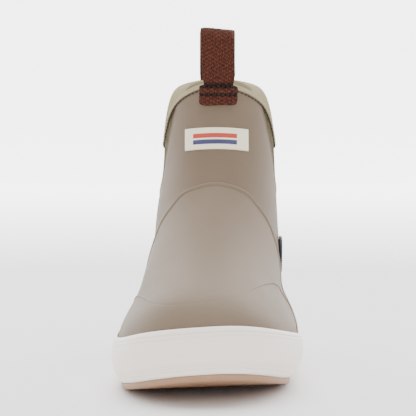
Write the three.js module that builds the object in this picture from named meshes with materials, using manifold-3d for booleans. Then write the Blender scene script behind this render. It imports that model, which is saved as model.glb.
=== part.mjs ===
// Ankle-high pull-on deck boot for the left foot.
// The upper is a lofted last surface: closed girth rings, from the sole's edge up to the collar,
// joined by a cubic B-spline. Every layer of the boot is an offset of that one surface.
// Units are millimetres and +Z is up. The toe points to -Y, the little-toe side is +X.
import * as THREE from 'three';
import Module from 'manifold-3d';
import { mergeVertices } from 'three/addons/utils/BufferGeometryUtils.js';

const wasm = await Module();
wasm.setup();

// ---------- driving dimensions ----------
const FOOT_LENGTH = 289;      // upper, from toe to heel, at the foxing line
const BALL_WIDTH = 105;       // upper, across the ball of the foot
const SHAFT_WIDTH = 67.6;     // across the collar
const COLLAR_FRONT = 177.7;   // height of the collar's front peak
const COLLAR_SIDE = 137.7;    // height of the collar's dip at each side
const COLLAR_BACK = 176.4;    // height of the collar's back peak
const TOE_SPRING = 16.5;      // rise of the sole at the toe
const SPRING_START = 115;     // distance from the toe at which the sole leaves the ground
const SPRING_SKEW = 0.25;     // how much further back it leaves the ground on the outer side

const OUTSOLE_THICKNESS = 3.4;
const MIDSOLE_THICKNESS = 8;
const BOARD_THICKNESS = 2;
const FOOTBED_THICKNESS = 4.5;
const FOOTBED_COVER_THICKNESS = 1.2;
const FOOTBED_CLEARANCE = 0.9; // between the footbed and the lining around it
const FOXING_HEIGHT = 26.4;
const FOXING_WALL = 2.4;

const BOOTIE_WALL = 2.8;
const LINING_WALL = 0.9;
const REINFORCEMENT_WALL = 0.7;
const RUBBER_WALL = 1.4;
const GORE_WALL = 0.9;
const OVERLAY_WALL = 1;
const BINDING_WALL = 0.8;
const BINDING_DEPTH = 3;
const BINDING_ROOF = 0.6;     // room between the layers' top edges and the binding over them

const TREAD_PITCH = 13;
const GROOVE_WIDTH = 2.2;
const GROOVE_DEPTH = 1.4;
const GROOVE_POINT = 9;       // how far each chevron's point leads its ends
const TREAD_BORDER = 8;       // plain rim left around the chevrons

const WEBBING_WIDTH = 24;
const WEBBING_THICKNESS = 1.9;
const LOOP_HEIGHT = 34.5;     // pull loop above the collar
const TAB_DROP = 1;           // from the collar's peak down to the sewn tabs
const TAB_LENGTH = 12.5;      // webbing sewn down below the collar
const THREAD = 0.7;

const LABEL_WIDTH = 39.5;
const LABEL_HEIGHT = 13.6;
const LABEL_DROP = 28;        // from the collar's front peak to the label's top edge
const BADGE_DIAMETER = 24;
const BADGE_THICKNESS = 1.5;
const BADGE_HEIGHT = 69;      // centre of the badge above the ground
const BADGE_RIM = 2.5;
const BADGE_FROM_TOE = 0.6436 * FOOT_LENGTH;

const GAP = 0.3;              // clearance between pieces that touch
const SEAM = 0.4;             // clearance between panels that lie edge to edge
const COLUMNS = 36;           // steps around each girth ring
const ROWS = 10;              // steps from the sole up to the collar

// ---------- offsets of the layers, measured outwards from the bootie's face ----------
const rubber = { inner: GAP, outer: GAP + RUBBER_WALL };
const gore = { inner: GAP, outer: GAP + GORE_WALL };
const overlay = { inner: rubber.outer + GAP, outer: rubber.outer + GAP + OVERLAY_WALL };
const bootie = { inner: -BOOTIE_WALL, outer: 0 };
const reinforcement = { inner: bootie.inner - GAP - REINFORCEMENT_WALL, outer: bootie.inner - GAP };
const lining = { inner: reinforcement.inner - GAP - LINING_WALL, outer: reinforcement.inner - GAP };
const binding = { inner: lining.inner - GAP - BINDING_WALL, outer: overlay.inner + BINDING_WALL };
const outerTab = { inner: binding.outer + GAP, outer: binding.outer + GAP + WEBBING_THICKNESS };
const innerTab = { inner: binding.inner - GAP - WEBBING_THICKNESS, outer: binding.inner - GAP };

// ---------- heights above the sole's own curved plane ----------
const SOLE_EDGE = OUTSOLE_THICKNESS + GAP;
const MIDSOLE_TOP = SOLE_EDGE + MIDSOLE_THICKNESS;
const UPPER_START = MIDSOLE_TOP + 2 * GAP;
const BOARD_BASE = MIDSOLE_TOP + GAP;
const FOOTBED_BASE = BOARD_BASE + BOARD_THICKNESS + GAP;
const COVER_BASE = FOOTBED_BASE + FOOTBED_THICKNESS + GAP;
const FOXING_TOP = SOLE_EDGE + FOXING_HEIGHT;

// ---------- girth rings ----------
// front, side, back: height as a share of the rise from the foxing line to the collar.
// toe, wide, heel: foremost, widest and rearmost place as a share of the foot length.
// half: half width. squareFront, squareBack: 1 is an ellipse, less is squarer.
// waist: how much of the arch's hollow the ring takes. lean: swelling towards the outer side.
const BALL = BALL_WIDTH / 2;
const SHAFT = SHAFT_WIDTH / 2;
const rings = [
  { toe: 0.017, wide: 0.318, heel: 0.986, half: 0.915 * BALL,
    squareFront: 0.8, squareBack: 0.6, waist: 1, lean: -0.03 },
  { toe: 0, wide: 0.318, heel: 1, half: 0.985 * BALL,
    squareFront: 0.78, squareBack: 0.6, waist: 1, lean: 0 },
  { toe: 0, wide: 0.322, heel: 1, half: 0.975 * BALL,
    squareFront: 0.78, squareBack: 0.62, waist: 0.9, lean: 0 },
  { front: 0.181, side: 0.1, back: 0.08, toe: 0.021, wide: 0.339, heel: 0.997, half: 0.89 * BALL,
    squareFront: 0.82, squareBack: 0.64, waist: 0.6, lean: 0 },
  { front: 0.228, side: 0.2, back: 0.163, toe: 0.076, wide: 0.388, heel: 0.991, half: 0.755 * BALL,
    squareFront: 0.88, squareBack: 0.7, waist: 0.3, lean: 0 },
  { front: 0.272, side: 0.3, back: 0.244, toe: 0.208, wide: 0.519, heel: 0.983, half: 1.15 * SHAFT,
    squareFront: 0.92, squareBack: 0.8, waist: 0.1, lean: -0.01 },
  { front: 0.349, side: 0.41, back: 0.325, toe: 0.36, wide: 0.644, heel: 0.969, half: 1.12 * SHAFT,
    squareFront: 0.95, squareBack: 0.9, waist: 0, lean: -0.01 },
  { front: 0.463, side: 0.54, back: 0.414, toe: 0.484, wide: 0.713, heel: 0.953, half: 1.11 * SHAFT,
    squareFront: 0.97, squareBack: 0.95, waist: 0, lean: -0.02 },
  { front: 0.617, side: 0.67, back: 0.569, toe: 0.557, wide: 0.74, heel: 0.943, half: 1.075 * SHAFT,
    squareFront: 0.98, squareBack: 0.98, waist: 0, lean: 0 },
  { front: 0.8, side: 0.835, back: 0.793, toe: 0.581, wide: 0.758, heel: 0.948, half: 1.02 * SHAFT,
    squareFront: 1, squareBack: 1, waist: 0, lean: 0.03 },
  { front: 1, side: 1, back: 1, toe: 0.588, wide: 0.768, heel: 0.965, half: SHAFT,
    squareFront: 1, squareBack: 1, waist: 0, lean: 0.03 },
];
const SOLE_RINGS = 3;         // the rings that run parallel to the sole
const LAST_RING = rings.length - 1;
const ARCH_INNER = 0.17;      // depth of the arch's hollow, as a share of the half width
const ARCH_OUTER = 0.05;
const ARCH_PLACE = 0.606 * FOOT_LENGTH;
const ARCH_SPREAD = 0.131 * FOOT_LENGTH;
const TOE_SHIFT = -3;         // the toe turns towards the inner side
const SHAFT_SHIFT = 4.5;      // and the shaft stands towards the outer side
const HEEL_SHIFT = 3;

const smooth = (u) => THREE.MathUtils.smoothstep(u, 0, 1);

/** Sideways place of the boot's centre line at a distance y from the toe. */
function centreLine(y) {
  const ball = rings[1].wide * FOOT_LENGTH;
  const towardsToe = Math.max(0, (ball - y) / ball);
  const upShaft = smooth((y / FOOT_LENGTH - 0.346) / 0.3);
  const behindShaft = smooth((y / FOOT_LENGTH - 0.6) / 0.38);
  return TOE_SHIFT * towardsToe ** 2 + SHAFT_SHIFT * upShaft + (HEEL_SHIFT - SHAFT_SHIFT) * behindShaft;
}

/** Height of the sole's underside: flat to the ball of the foot, then a parabola up to the toe. */
function soleRise(x, y) {
  return TOE_SPRING * Math.max(0, (SPRING_START + SPRING_SKEW * x - y) / SPRING_START) ** 2;
}

/** Point of girth ring k at angle phi, which is 0 at the toe and a quarter turn at the outer side. */
function ringPoint(k, phi) {
  const r = rings[k];
  const c = Math.cos(phi);
  const s = Math.sin(phi);
  const inFront = c >= 0;
  const reach = inFront ? r.wide - r.toe : r.heel - r.wide;
  const y = (r.wide - reach * c) * FOOT_LENGTH;
  const arch = (s > 0 ? ARCH_OUTER : ARCH_INNER) * Math.exp(-(((y - ARCH_PLACE) / ARCH_SPREAD) ** 2));
  const egg = Math.sign(s) * Math.abs(s) ** (inFront ? r.squareFront : r.squareBack);
  const x = r.half * egg * (1 - r.waist * arch) * (1 + r.lean * Math.sign(s)) + centreLine(y);
  if (k < SOLE_RINGS) {
    return new THREE.Vector3(x, y, SOLE_EDGE + (FOXING_HEIGHT * k) / (SOLE_RINGS - 1) + soleRise(x, y));
  }
  const end = inFront
    ? FOXING_TOP + r.front * (COLLAR_FRONT - FOXING_TOP)
    : FOXING_TOP + r.back * (COLLAR_BACK - FOXING_TOP);
  const side = FOXING_TOP + r.side * (COLLAR_SIDE - FOXING_TOP);
  let share = c * c;
  if (k === LAST_RING) {
    share = inFront ? 1 - 0.47 * s ** 2 - 0.53 * s ** 10 : 1 - 0.17 * s ** 2 - 0.83 * s ** 12;
  }
  return new THREE.Vector3(x, y, side + (end - side) * share);
}

/** Point of the last surface: the rings joined by a uniform cubic B-spline, v from 0 to 1. */
function surfacePoint(phi, v) {
  const t = THREE.MathUtils.clamp(v, 0, 1) * LAST_RING;
  const k = Math.min(Math.floor(t), LAST_RING - 1);
  const f = t - k;
  const weights = [
    (1 - f) ** 3,
    3 * f ** 3 - 6 * f ** 2 + 4,
    -3 * f ** 3 + 3 * f ** 2 + 3 * f + 1,
    f ** 3,
  ];
  const point = new THREE.Vector3();
  weights.forEach((weight, i) => {
    const j = k - 1 + i;
    let ring;
    if (j < 0) ring = ringPoint(0, phi).multiplyScalar(2).sub(ringPoint(1, phi));
    else if (j > LAST_RING) {
      ring = ringPoint(LAST_RING, phi).multiplyScalar(2).sub(ringPoint(LAST_RING - 1, phi));
    } else ring = ringPoint(j, phi);
    point.addScaledVector(ring, weight / 6);
  });
  return point;
}

/** The surface's directions at one place: around, up and outwards. */
function surfaceFrame(phi, v) {
  const step = 1e-3;
  const around = surfacePoint(phi + step, v).sub(surfacePoint(phi - step, v)).normalize();
  const up = surfacePoint(phi, Math.min(1, v + step)).sub(surfacePoint(phi, Math.max(0, v - step)));
  up.normalize();
  return { up, out: new THREE.Vector3().crossVectors(around, up).normalize() };
}

const angleAt = (column) => -Math.PI + (2 * Math.PI * column) / COLUMNS;
const rowOfHeight = (height) => ((height - SOLE_EDGE) / FOXING_HEIGHT) * ((SOLE_RINGS - 1) / LAST_RING);
const UPPER_ROW = rowOfHeight(UPPER_START);
const layerRow = (row) => UPPER_ROW + ((1 - UPPER_ROW) * row) / ROWS;
const heightOfRow = (v) => SOLE_EDGE + (v * LAST_RING * FOXING_HEIGHT) / (SOLE_RINGS - 1);

// ---------- solids ----------
function geometryFrom(points, faces) {
  const geometry = new THREE.BufferGeometry();
  geometry.setAttribute('position', new THREE.Float32BufferAttribute(points.flatMap((p) => p.toArray()), 3));
  geometry.setIndex(faces.flat());
  return geometry;
}

function toSolid(geometry) {
  const plain = geometry.clone();
  plain.deleteAttribute('normal');
  plain.deleteAttribute('uv');
  const merged = mergeVertices(plain, 1e-4);
  const mesh = new wasm.Mesh({
    numProp: 3,
    vertProperties: new Float32Array(merged.attributes.position.array),
    triVerts: new Uint32Array(merged.index.array),
  });
  return new wasm.Manifold(mesh);
}

function toGeometry(solid) {
  const mesh = solid.getMesh();
  const geometry = new THREE.BufferGeometry();
  geometry.setAttribute('position', new THREE.BufferAttribute(new Float32Array(mesh.vertProperties), 3));
  geometry.setIndex(new THREE.BufferAttribute(new Uint32Array(mesh.triVerts), 1));
  geometry.computeVertexNormals();
  return geometry;
}

/**
 * A closed profile of place(column, i) points carried once around the boot. From the point `turn` on,
 * each quad is split along its other diagonal, so that facing walls of two layers stay parallel.
 */
function hoop(count, place, turn = count) {
  const points = [];
  const faces = [];
  for (let column = 0; column < COLUMNS; column += 1) {
    for (let i = 0; i < count; i += 1) {
      points.push(place(column, i));
      const next = ((column + 1) % COLUMNS) * count;
      const here = column * count;
      const j = (i + 1) % count;
      if (i < turn) faces.push([here + i, next + i, next + j], [here + i, next + j, here + j]);
      else faces.push([here + i, next + i, here + j], [next + i, next + j, here + j]);
    }
  }
  return geometryFrom(points, faces);
}

/** A wall between two offsets of the last surface, from one row up to another. */
function layer({ inner, outer }) {
  const count = 2 * (ROWS + 1);
  return hoop(count, (column, i) => {
    const rising = i <= ROWS;
    const row = rising ? i : count - 1 - i;
    return offsetPoint(column, layerRow(row), rising ? outer : inner);
  }, ROWS + 1);
}

/** Point at a height above the sole's curved plane, moved level and outwards from the surface. */
function solePoint(column, { out, height }) {
  const phi = angleAt(column);
  const v = rowOfHeight(Math.max(height, SOLE_EDGE));
  const normal = surfaceFrame(phi, v).out.setZ(0).normalize();
  const p = surfacePoint(phi, v).addScaledVector(normal, out);
  return p.setZ(height + soleRise(p.x, p.y));
}

/** Point at a row of the surface, moved square to it and outwards. */
function offsetPoint(column, v, out) {
  const phi = angleAt(column);
  return surfacePoint(phi, v).addScaledVector(surfaceFrame(phi, v).out, out);
}

/** A wall of { out, height } section points, square to the upper where it has one. */
function band(section, turn) {
  return hoop(section.length, (column, i) => {
    const { out, height } = section[i];
    if (height < UPPER_START) return solePoint(column, section[i]);
    return offsetPoint(column, rowOfHeight(height), out);
  }, turn);
}

/** A rim whose section is a list of { out, up } points around the collar's edge. */
function rim(section) {
  return hoop(section.length, (column, i) => {
    const phi = angleAt(column);
    const { up, out } = surfaceFrame(phi, 1);
    return surfacePoint(phi, 1).addScaledVector(out, section[i].out).addScaledVector(up, section[i].up);
  });
}

/** A plate that follows the sole's curve: outlines of { out, height }, lowest first. */
function plate(outlines) {
  const points = [];
  const faces = [];
  outlines.forEach((outline, level) => {
    for (let column = 0; column < COLUMNS; column += 1) {
      points.push(solePoint(column, outline));
      if (level === 0) continue;
      const here = level * COLUMNS;
      const under = here - COLUMNS;
      const next = (column + 1) % COLUMNS;
      faces.push([under + column, under + next, here + next], [under + column, here + next, here + column]);
    }
  });
  const top = (outlines.length - 1) * COLUMNS;
  for (let left = 0; left < COLUMNS / 2; left += 1) {
    const right = (COLUMNS - left) % COLUMNS;
    const [a, b, c, d] = [left, left + 1, COLUMNS - left - 1, right];
    if (a !== d) faces.push([a, d, c], [top + a, top + c, top + d]);
    if (b !== c) faces.push([a, c, b], [top + a, top + b, top + c]);
  }
  return geometryFrom(points, faces);
}

/** Everything inside one offset of the last surface, used only to trim what lies on it. */
function filledLast(offset) {
  const points = [];
  const faces = [];
  for (let row = 0; row <= ROWS; row += 1) {
    for (let column = 0; column < COLUMNS; column += 1) {
      points.push(offsetPoint(column, layerRow(row), offset));
      const next = (column + 1) % COLUMNS;
      const here = row * COLUMNS;
      const above = here + COLUMNS;
      if (row === ROWS) continue;
      faces.push([here + column, here + next, above + next], [here + column, above + next, above + column]);
    }
  }
  const centreOf = (start) => points.slice(start, start + COLUMNS)
    .reduce((sum, p) => sum.add(p), new THREE.Vector3()).divideScalar(COLUMNS);
  const topStart = ROWS * COLUMNS;
  const base = points.push(centreOf(0)) - 1;
  const crown = points.push(centreOf(topStart)) - 1;
  for (let column = 0; column < COLUMNS; column += 1) {
    const next = (column + 1) % COLUMNS;
    faces.push([base, next, column], [crown, topStart + column, topStart + next]);
  }
  return toSolid(geometryFrom(points, faces));
}

/** The angle and row of the outer side's surface at a distance from the toe and a height. */
function outerSidePlace(y, z) {
  const place = { phi: Math.PI / 2, v: 0.5 };
  for (let step = 0; step < 40; step += 1) {
    const p = surfacePoint(place.phi, place.v);
    place.phi += (y - p.y) / FOOT_LENGTH;
    place.v += (z - p.z) / COLLAR_FRONT;
  }
  return place;
}

/** A block cut to an outline in the side view, right through the boot from side to side. */
function sideCutter(outline, tilt = 0) {
  const depth = 4 * BALL_WIDTH;
  const block = new THREE.ExtrudeGeometry(outline, { depth, bevelEnabled: false, curveSegments: 4 });
  block.translate(0, 0, -depth / 2);
  block.applyMatrix4(new THREE.Matrix4().makeBasis(
    new THREE.Vector3(0, 1, 0), new THREE.Vector3(0, 0, 1), new THREE.Vector3(1, 0, 0),
  ));
  block.applyMatrix4(new THREE.Matrix4().set(1, 0, 0, 0, 0, 1, 0, 0, tilt, 0, 1, 0, 0, 0, 0, 1));
  return toSolid(block);
}

function boxCutter(min, max) {
  const low = new THREE.Vector3(...min);
  const high = new THREE.Vector3(...max);
  const size = high.clone().sub(low);
  const block = new THREE.BoxGeometry(size.x, size.y, size.z);
  const middle = low.add(high).multiplyScalar(0.5);
  block.translate(middle.x, middle.y, middle.z);
  return toSolid(block);
}

/** Side-view outline through points given as shares of length and of height above the foxing. */
const sidePoint = ([along, rise]) => new THREE.Vector2(
  along * FOOT_LENGTH,
  FOXING_TOP + rise * (COLLAR_FRONT - FOXING_TOP),
);

// ---------- panel outlines in the side view ----------
const CAP_TILT = 0.1;         // the toe cap's edge climbs towards the outer side
const capEdge = [[-0.1, 0.185], [0.06, 0.185], [0.22, 0.185], [0.35, 0.165], [0.43, 0.105],
  [0.465, 0.02], [0.475, -0.2]];
const vampEdge = [[0.3, 0.584], [0.533, 0.584], [0.56, 0.53], [0.572, 0.46], [0.568, 0.4],
  [0.545, 0.31], [0.512, 0.235], [0.498, 0.13], [0.494, 0], [0.494, -0.2]];
const goreEdge = [[0.637, 1.15], [0.641, 0.96], [0.664, 0.83], [0.7, 0.68], [0.725, 0.57],
  [0.77, 0.515], [0.815, 0.57], [0.85, 0.7], [0.885, 0.87], [0.905, 0.98], [0.91, 1.15]];
const heelEdge = [[1.1, 0.26], [0.985, 0.26], [0.94, 0.22], [0.865, 0.1], [0.84, 0], [0.83, -0.2]];

/** Area in front of a panel's edge, grown outwards by a seam's width. */
function frontPanel(edge, grow = 0) {
  const points = edge.map(sidePoint);
  const outline = new THREE.Shape();
  outline.moveTo(-FOOT_LENGTH, points.at(-1).y);
  outline.lineTo(-FOOT_LENGTH, points[0].y + grow);
  outline.lineTo(points[0].x, points[0].y + grow);
  outline.splineThru(points.slice(1).map((p, i) => {
    const lift = i < 1 ? grow : grow * 0.7;
    return new THREE.Vector2(p.x + (i < 1 ? 0 : grow), p.y + lift);
  }));
  outline.closePath();
  return outline;
}

function heelPanel(edge) {
  const points = edge.map(sidePoint);
  const outline = new THREE.Shape();
  outline.moveTo(2 * FOOT_LENGTH, points.at(-1).y);
  outline.lineTo(points.at(-1).x, points.at(-1).y);
  outline.splineThru(points.slice(0, -1).reverse());
  outline.lineTo(2 * FOOT_LENGTH, points[0].y);
  outline.closePath();
  return outline;
}

function goreOutline(shrink = 0) {
  const points = goreEdge.map(sidePoint);
  const middle = 0.775 * FOOT_LENGTH;
  const lowest = Math.min(...points.map((p) => p.y));
  const fitted = points.map((p) => new THREE.Vector2(
    p.x + Math.sign(middle - p.x) * shrink,
    p.y + shrink * Math.max(0, 1 - (p.y - lowest) / 20),
  ));
  const outline = new THREE.Shape();
  outline.moveTo(fitted[0].x, fitted[0].y);
  outline.splineThru(fitted.slice(1));
  outline.closePath();
  return outline;
}

// ---------- the boot ----------
const boot = new THREE.Group();

function finish(color, roughness) {
  return new THREE.MeshStandardMaterial({ color, roughness, metalness: 0 });
}

const finishes = {
  gum: finish(0x9a7654, 0.7),
  white: finish(0xe9e0d8, 0.6),
  foam: finish(0xd8d4cc, 0.9),
  board: finish(0xb9ab8f, 0.9),
  footbed: finish(0x4c4a48, 0.9),
  knit: finish(0xa9a18b, 0.95),
  neoprene: finish(0x5e564c, 0.9),
  taupe: finish(0x938374, 0.55),
  taupeLight: finish(0xaa9d8d, 0.55),
  gore: finish(0x8d8272, 0.95),
  binding: finish(0xbeb296, 0.9),
  thread: finish(0x4b3f30, 0.9),
  webbing: finish(0x6b3726, 0.9),
  label: finish(0xf2efde, 0.8),
  navy: finish(0x1e202d, 0.45),
};

function add(name, geometry, material) {
  const shaped = geometry.attributes.normal ? geometry : geometry.clone();
  shaped.computeVertexNormals();
  const mesh = new THREE.Mesh(shaped, material);
  mesh.name = name;
  boot.add(mesh);
  return mesh;
}

/** Half outline of the sole's edge at a distance y from the toe, side being -1 or 1. */
function soleEdgeX(y, side) {
  const { toe, wide, heel } = rings[0];
  const share = y / FOOT_LENGTH;
  const c = share < wide ? (wide - share) / (wide - toe) : (wide - share) / (heel - wide);
  return ringPoint(0, side * Math.acos(THREE.MathUtils.clamp(c, -1, 1))).x;
}

/** One chevron groove, sheared to lie along the sole where the sole rises. */
function chevronGroove(y) {
  const left = soleEdgeX(y, -1) + TREAD_BORDER;
  const right = soleEdgeX(y, 1) - TREAD_BORDER;
  const middle = (left + right) / 2;
  const point = Math.min(GROOVE_POINT, (right - left) / 5);
  const outline = new THREE.Shape([
    new THREE.Vector2(left, y), new THREE.Vector2(middle, y - point), new THREE.Vector2(right, y),
    new THREE.Vector2(right, y + GROOVE_WIDTH), new THREE.Vector2(middle, y - point + GROOVE_WIDTH),
    new THREE.Vector2(left, y + GROOVE_WIDTH),
  ].reverse());
  const below = 4;
  const groove = new THREE.ExtrudeGeometry(outline, { depth: GROOVE_DEPTH + below, bevelEnabled: false });
  const at = y - point / 2;
  const slopeY = (soleRise(middle, at + 1) - soleRise(middle, at - 1)) / 2;
  const slopeX = (soleRise(middle + 1, at) - soleRise(middle - 1, at)) / 2;
  const lift = soleRise(middle, at) - slopeY * at - slopeX * middle - below;
  groove.applyMatrix4(new THREE.Matrix4().set(1, 0, 0, 0, 0, 1, 0, 0, slopeX, slopeY, 1, lift, 0, 0, 0, 1));
  return toSolid(groove);
}

function addSole() {
  let outsole = toSolid(plate([
    { out: 0.8, height: 0 },
    { out: 2.2, height: 1.4 },
    { out: 2.3, height: OUTSOLE_THICKNESS },
  ]));
  const firstGroove = 17;
  for (let y = firstGroove; y < FOOT_LENGTH - firstGroove; y += TREAD_PITCH) {
    outsole = outsole.subtract(chevronGroove(y));
  }
  add('outsole', toGeometry(outsole), finishes.gum);
  add('midsole', plate([
    { out: -0.9, height: SOLE_EDGE },
    { out: -0.3, height: MIDSOLE_TOP },
  ]), finishes.foam);
  const inside = lining.inner - FOOTBED_CLEARANCE;
  add('lasting_board', plate([
    { out: inside, height: BOARD_BASE },
    { out: inside, height: BOARD_BASE + BOARD_THICKNESS },
  ]), finishes.board);
  add('footbed', plate([
    { out: inside, height: FOOTBED_BASE },
    { out: inside, height: FOOTBED_BASE + FOOTBED_THICKNESS },
  ]), finishes.footbed);
  add('footbed_cover', plate([
    { out: inside, height: COVER_BASE },
    { out: inside, height: COVER_BASE + FOOTBED_COVER_THICKNESS },
  ]), finishes.knit);
  const wallInner = overlay.outer + GAP;
  const wallOuter = wallInner + FOXING_WALL;
  add('foxing_band', band([
    { out: 2.3, height: SOLE_EDGE },
    { out: wallOuter - 1.3, height: SOLE_EDGE + 0.14 * FOXING_HEIGHT },
    { out: wallOuter, height: SOLE_EDGE + 0.4 * FOXING_HEIGHT },
    { out: wallOuter, height: SOLE_EDGE + 0.78 * FOXING_HEIGHT },
    { out: wallOuter - 0.7, height: SOLE_EDGE + 0.94 * FOXING_HEIGHT },
    { out: wallInner + 0.6, height: FOXING_TOP },
    { out: wallInner, height: FOXING_TOP - 0.8 },
    { out: wallInner, height: heightOfRow(layerRow(1)) },
    { out: wallInner, height: UPPER_START },
    { out: 0.8, height: SOLE_EDGE + 0.2 * FOXING_HEIGHT },
    { out: 0.5, height: SOLE_EDGE },
  ], 6), finishes.white);
}

function addUpper() {
  const halfSpace = 2 * BALL_WIDTH;
  const boxHeight = 2 * COLLAR_FRONT;
  const divide = centreLine(ARCH_PLACE);
  const outerSide = boxCutter([divide, -FOOT_LENGTH, 0], [halfSpace, 2 * FOOT_LENGTH, boxHeight]);
  const innerSide = boxCutter([-halfSpace, -FOOT_LENGTH, 0], [divide, 2 * FOOT_LENGTH, boxHeight]);
  add('lining', layer(lining), finishes.knit);
  add('neoprene_bootie', layer(bootie), finishes.neoprene);

  const overlayWall = toSolid(layer(overlay));
  const cap = sideCutter(frontPanel(capEdge), CAP_TILT);
  const capWithSeam = sideCutter(frontPanel(capEdge, SEAM), CAP_TILT);
  const vamp = sideCutter(frontPanel(vampEdge));
  const heel = sideCutter(heelPanel(heelEdge));
  add('toe_cap', toGeometry(overlayWall.intersect(cap)), finishes.taupeLight);
  add('vamp_overlay', toGeometry(overlayWall.intersect(vamp).subtract(capWithSeam)), finishes.taupeLight);
  add('heel_overlay', toGeometry(overlayWall.intersect(heel)), finishes.taupeLight);

  const reinforcementWall = toSolid(layer(reinforcement));
  add('toe_reinforcement', toGeometry(reinforcementWall.intersect(cap)), finishes.board);
  add('heel_reinforcement', toGeometry(reinforcementWall.intersect(heel)), finishes.board);

  const rubberWall = toSolid(layer(rubber));
  add('rubber_shell', toGeometry(rubberWall.subtract(sideCutter(goreOutline()))), finishes.taupe);
  const goreWall = toSolid(layer(gore)).intersect(sideCutter(goreOutline(SEAM)));
  add('lateral_gore', toGeometry(goreWall.intersect(outerSide)), finishes.gore);
  add('medial_gore', toGeometry(goreWall.intersect(innerSide)), finishes.gore);
}

function addCollar() {
  add('collar_binding', rim([
    { out: overlay.inner, up: -BINDING_DEPTH },
    { out: binding.outer, up: -BINDING_DEPTH },
    { out: binding.outer, up: BINDING_ROOF },
    { out: rubber.outer - 1, up: BINDING_ROOF + BINDING_WALL },
    { out: lining.inner + 1, up: BINDING_ROOF + BINDING_WALL },
    { out: binding.inner, up: BINDING_ROOF },
    { out: binding.inner, up: -BINDING_DEPTH },
    { out: lining.inner - GAP, up: -BINDING_DEPTH },
    { out: lining.inner - GAP, up: BINDING_ROOF },
    { out: overlay.inner, up: BINDING_ROOF },
  ]), finishes.binding);
  const seamDrop = -BINDING_DEPTH - 1.2;
  add('collar_thread', rim([
    { out: overlay.inner, up: seamDrop - THREAD / 2 },
    { out: overlay.inner + THREAD, up: seamDrop },
    { out: overlay.inner, up: seamDrop + THREAD / 2 },
  ]), finishes.thread);
}

function addTrim() {
  const labelWall = toSolid(layer(overlay));
  const labelTop = COLLAR_FRONT - LABEL_DROP;
  const middle = centreLine(rings[LAST_RING].toe * FOOT_LENGTH);
  const labelBox = boxCutter(
    [middle - LABEL_WIDTH / 2, 0, labelTop - LABEL_HEIGHT],
    [middle + LABEL_WIDTH / 2, rings[LAST_RING].wide * FOOT_LENGTH, labelTop],
  );
  add('front_label', toGeometry(labelWall.intersect(labelBox)), finishes.label);

  const place = outerSidePlace(BADGE_FROM_TOE, BADGE_HEIGHT);
  const { out } = surfaceFrame(place.phi, place.v);
  const face = rubber.outer + GAP + BADGE_THICKNESS;
  const outwards = new THREE.Quaternion().setFromUnitVectors(new THREE.Vector3(0, 1, 0), out);
  const badgeDisc = (radius, depth, proud = 0) => {
    const disc = new THREE.CylinderGeometry(radius, radius, depth + proud, 28);
    disc.applyQuaternion(outwards);
    const middle = surfacePoint(place.phi, place.v).addScaledVector(out, face + (proud - depth) / 2);
    disc.translate(middle.x, middle.y, middle.z);
    return toSolid(disc);
  };
  const rubberFace = filledLast(rubber.outer + GAP);
  const depth = 4 * BADGE_THICKNESS;
  const inlayRadius = BADGE_DIAMETER / 2 - BADGE_RIM;
  const rimBlank = badgeDisc(BADGE_DIAMETER / 2, depth)
    .subtract(badgeDisc(inlayRadius + GAP, 2 * depth, depth));
  add('badge_rim', toGeometry(rimBlank.subtract(rubberFace)), finishes.navy);
  const inlayDepth = 0.3;
  const inlayBlank = badgeDisc(inlayRadius, depth, -inlayDepth);
  add('badge_inlay', toGeometry(inlayBlank.subtract(rubberFace)), finishes.navy);
}

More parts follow.
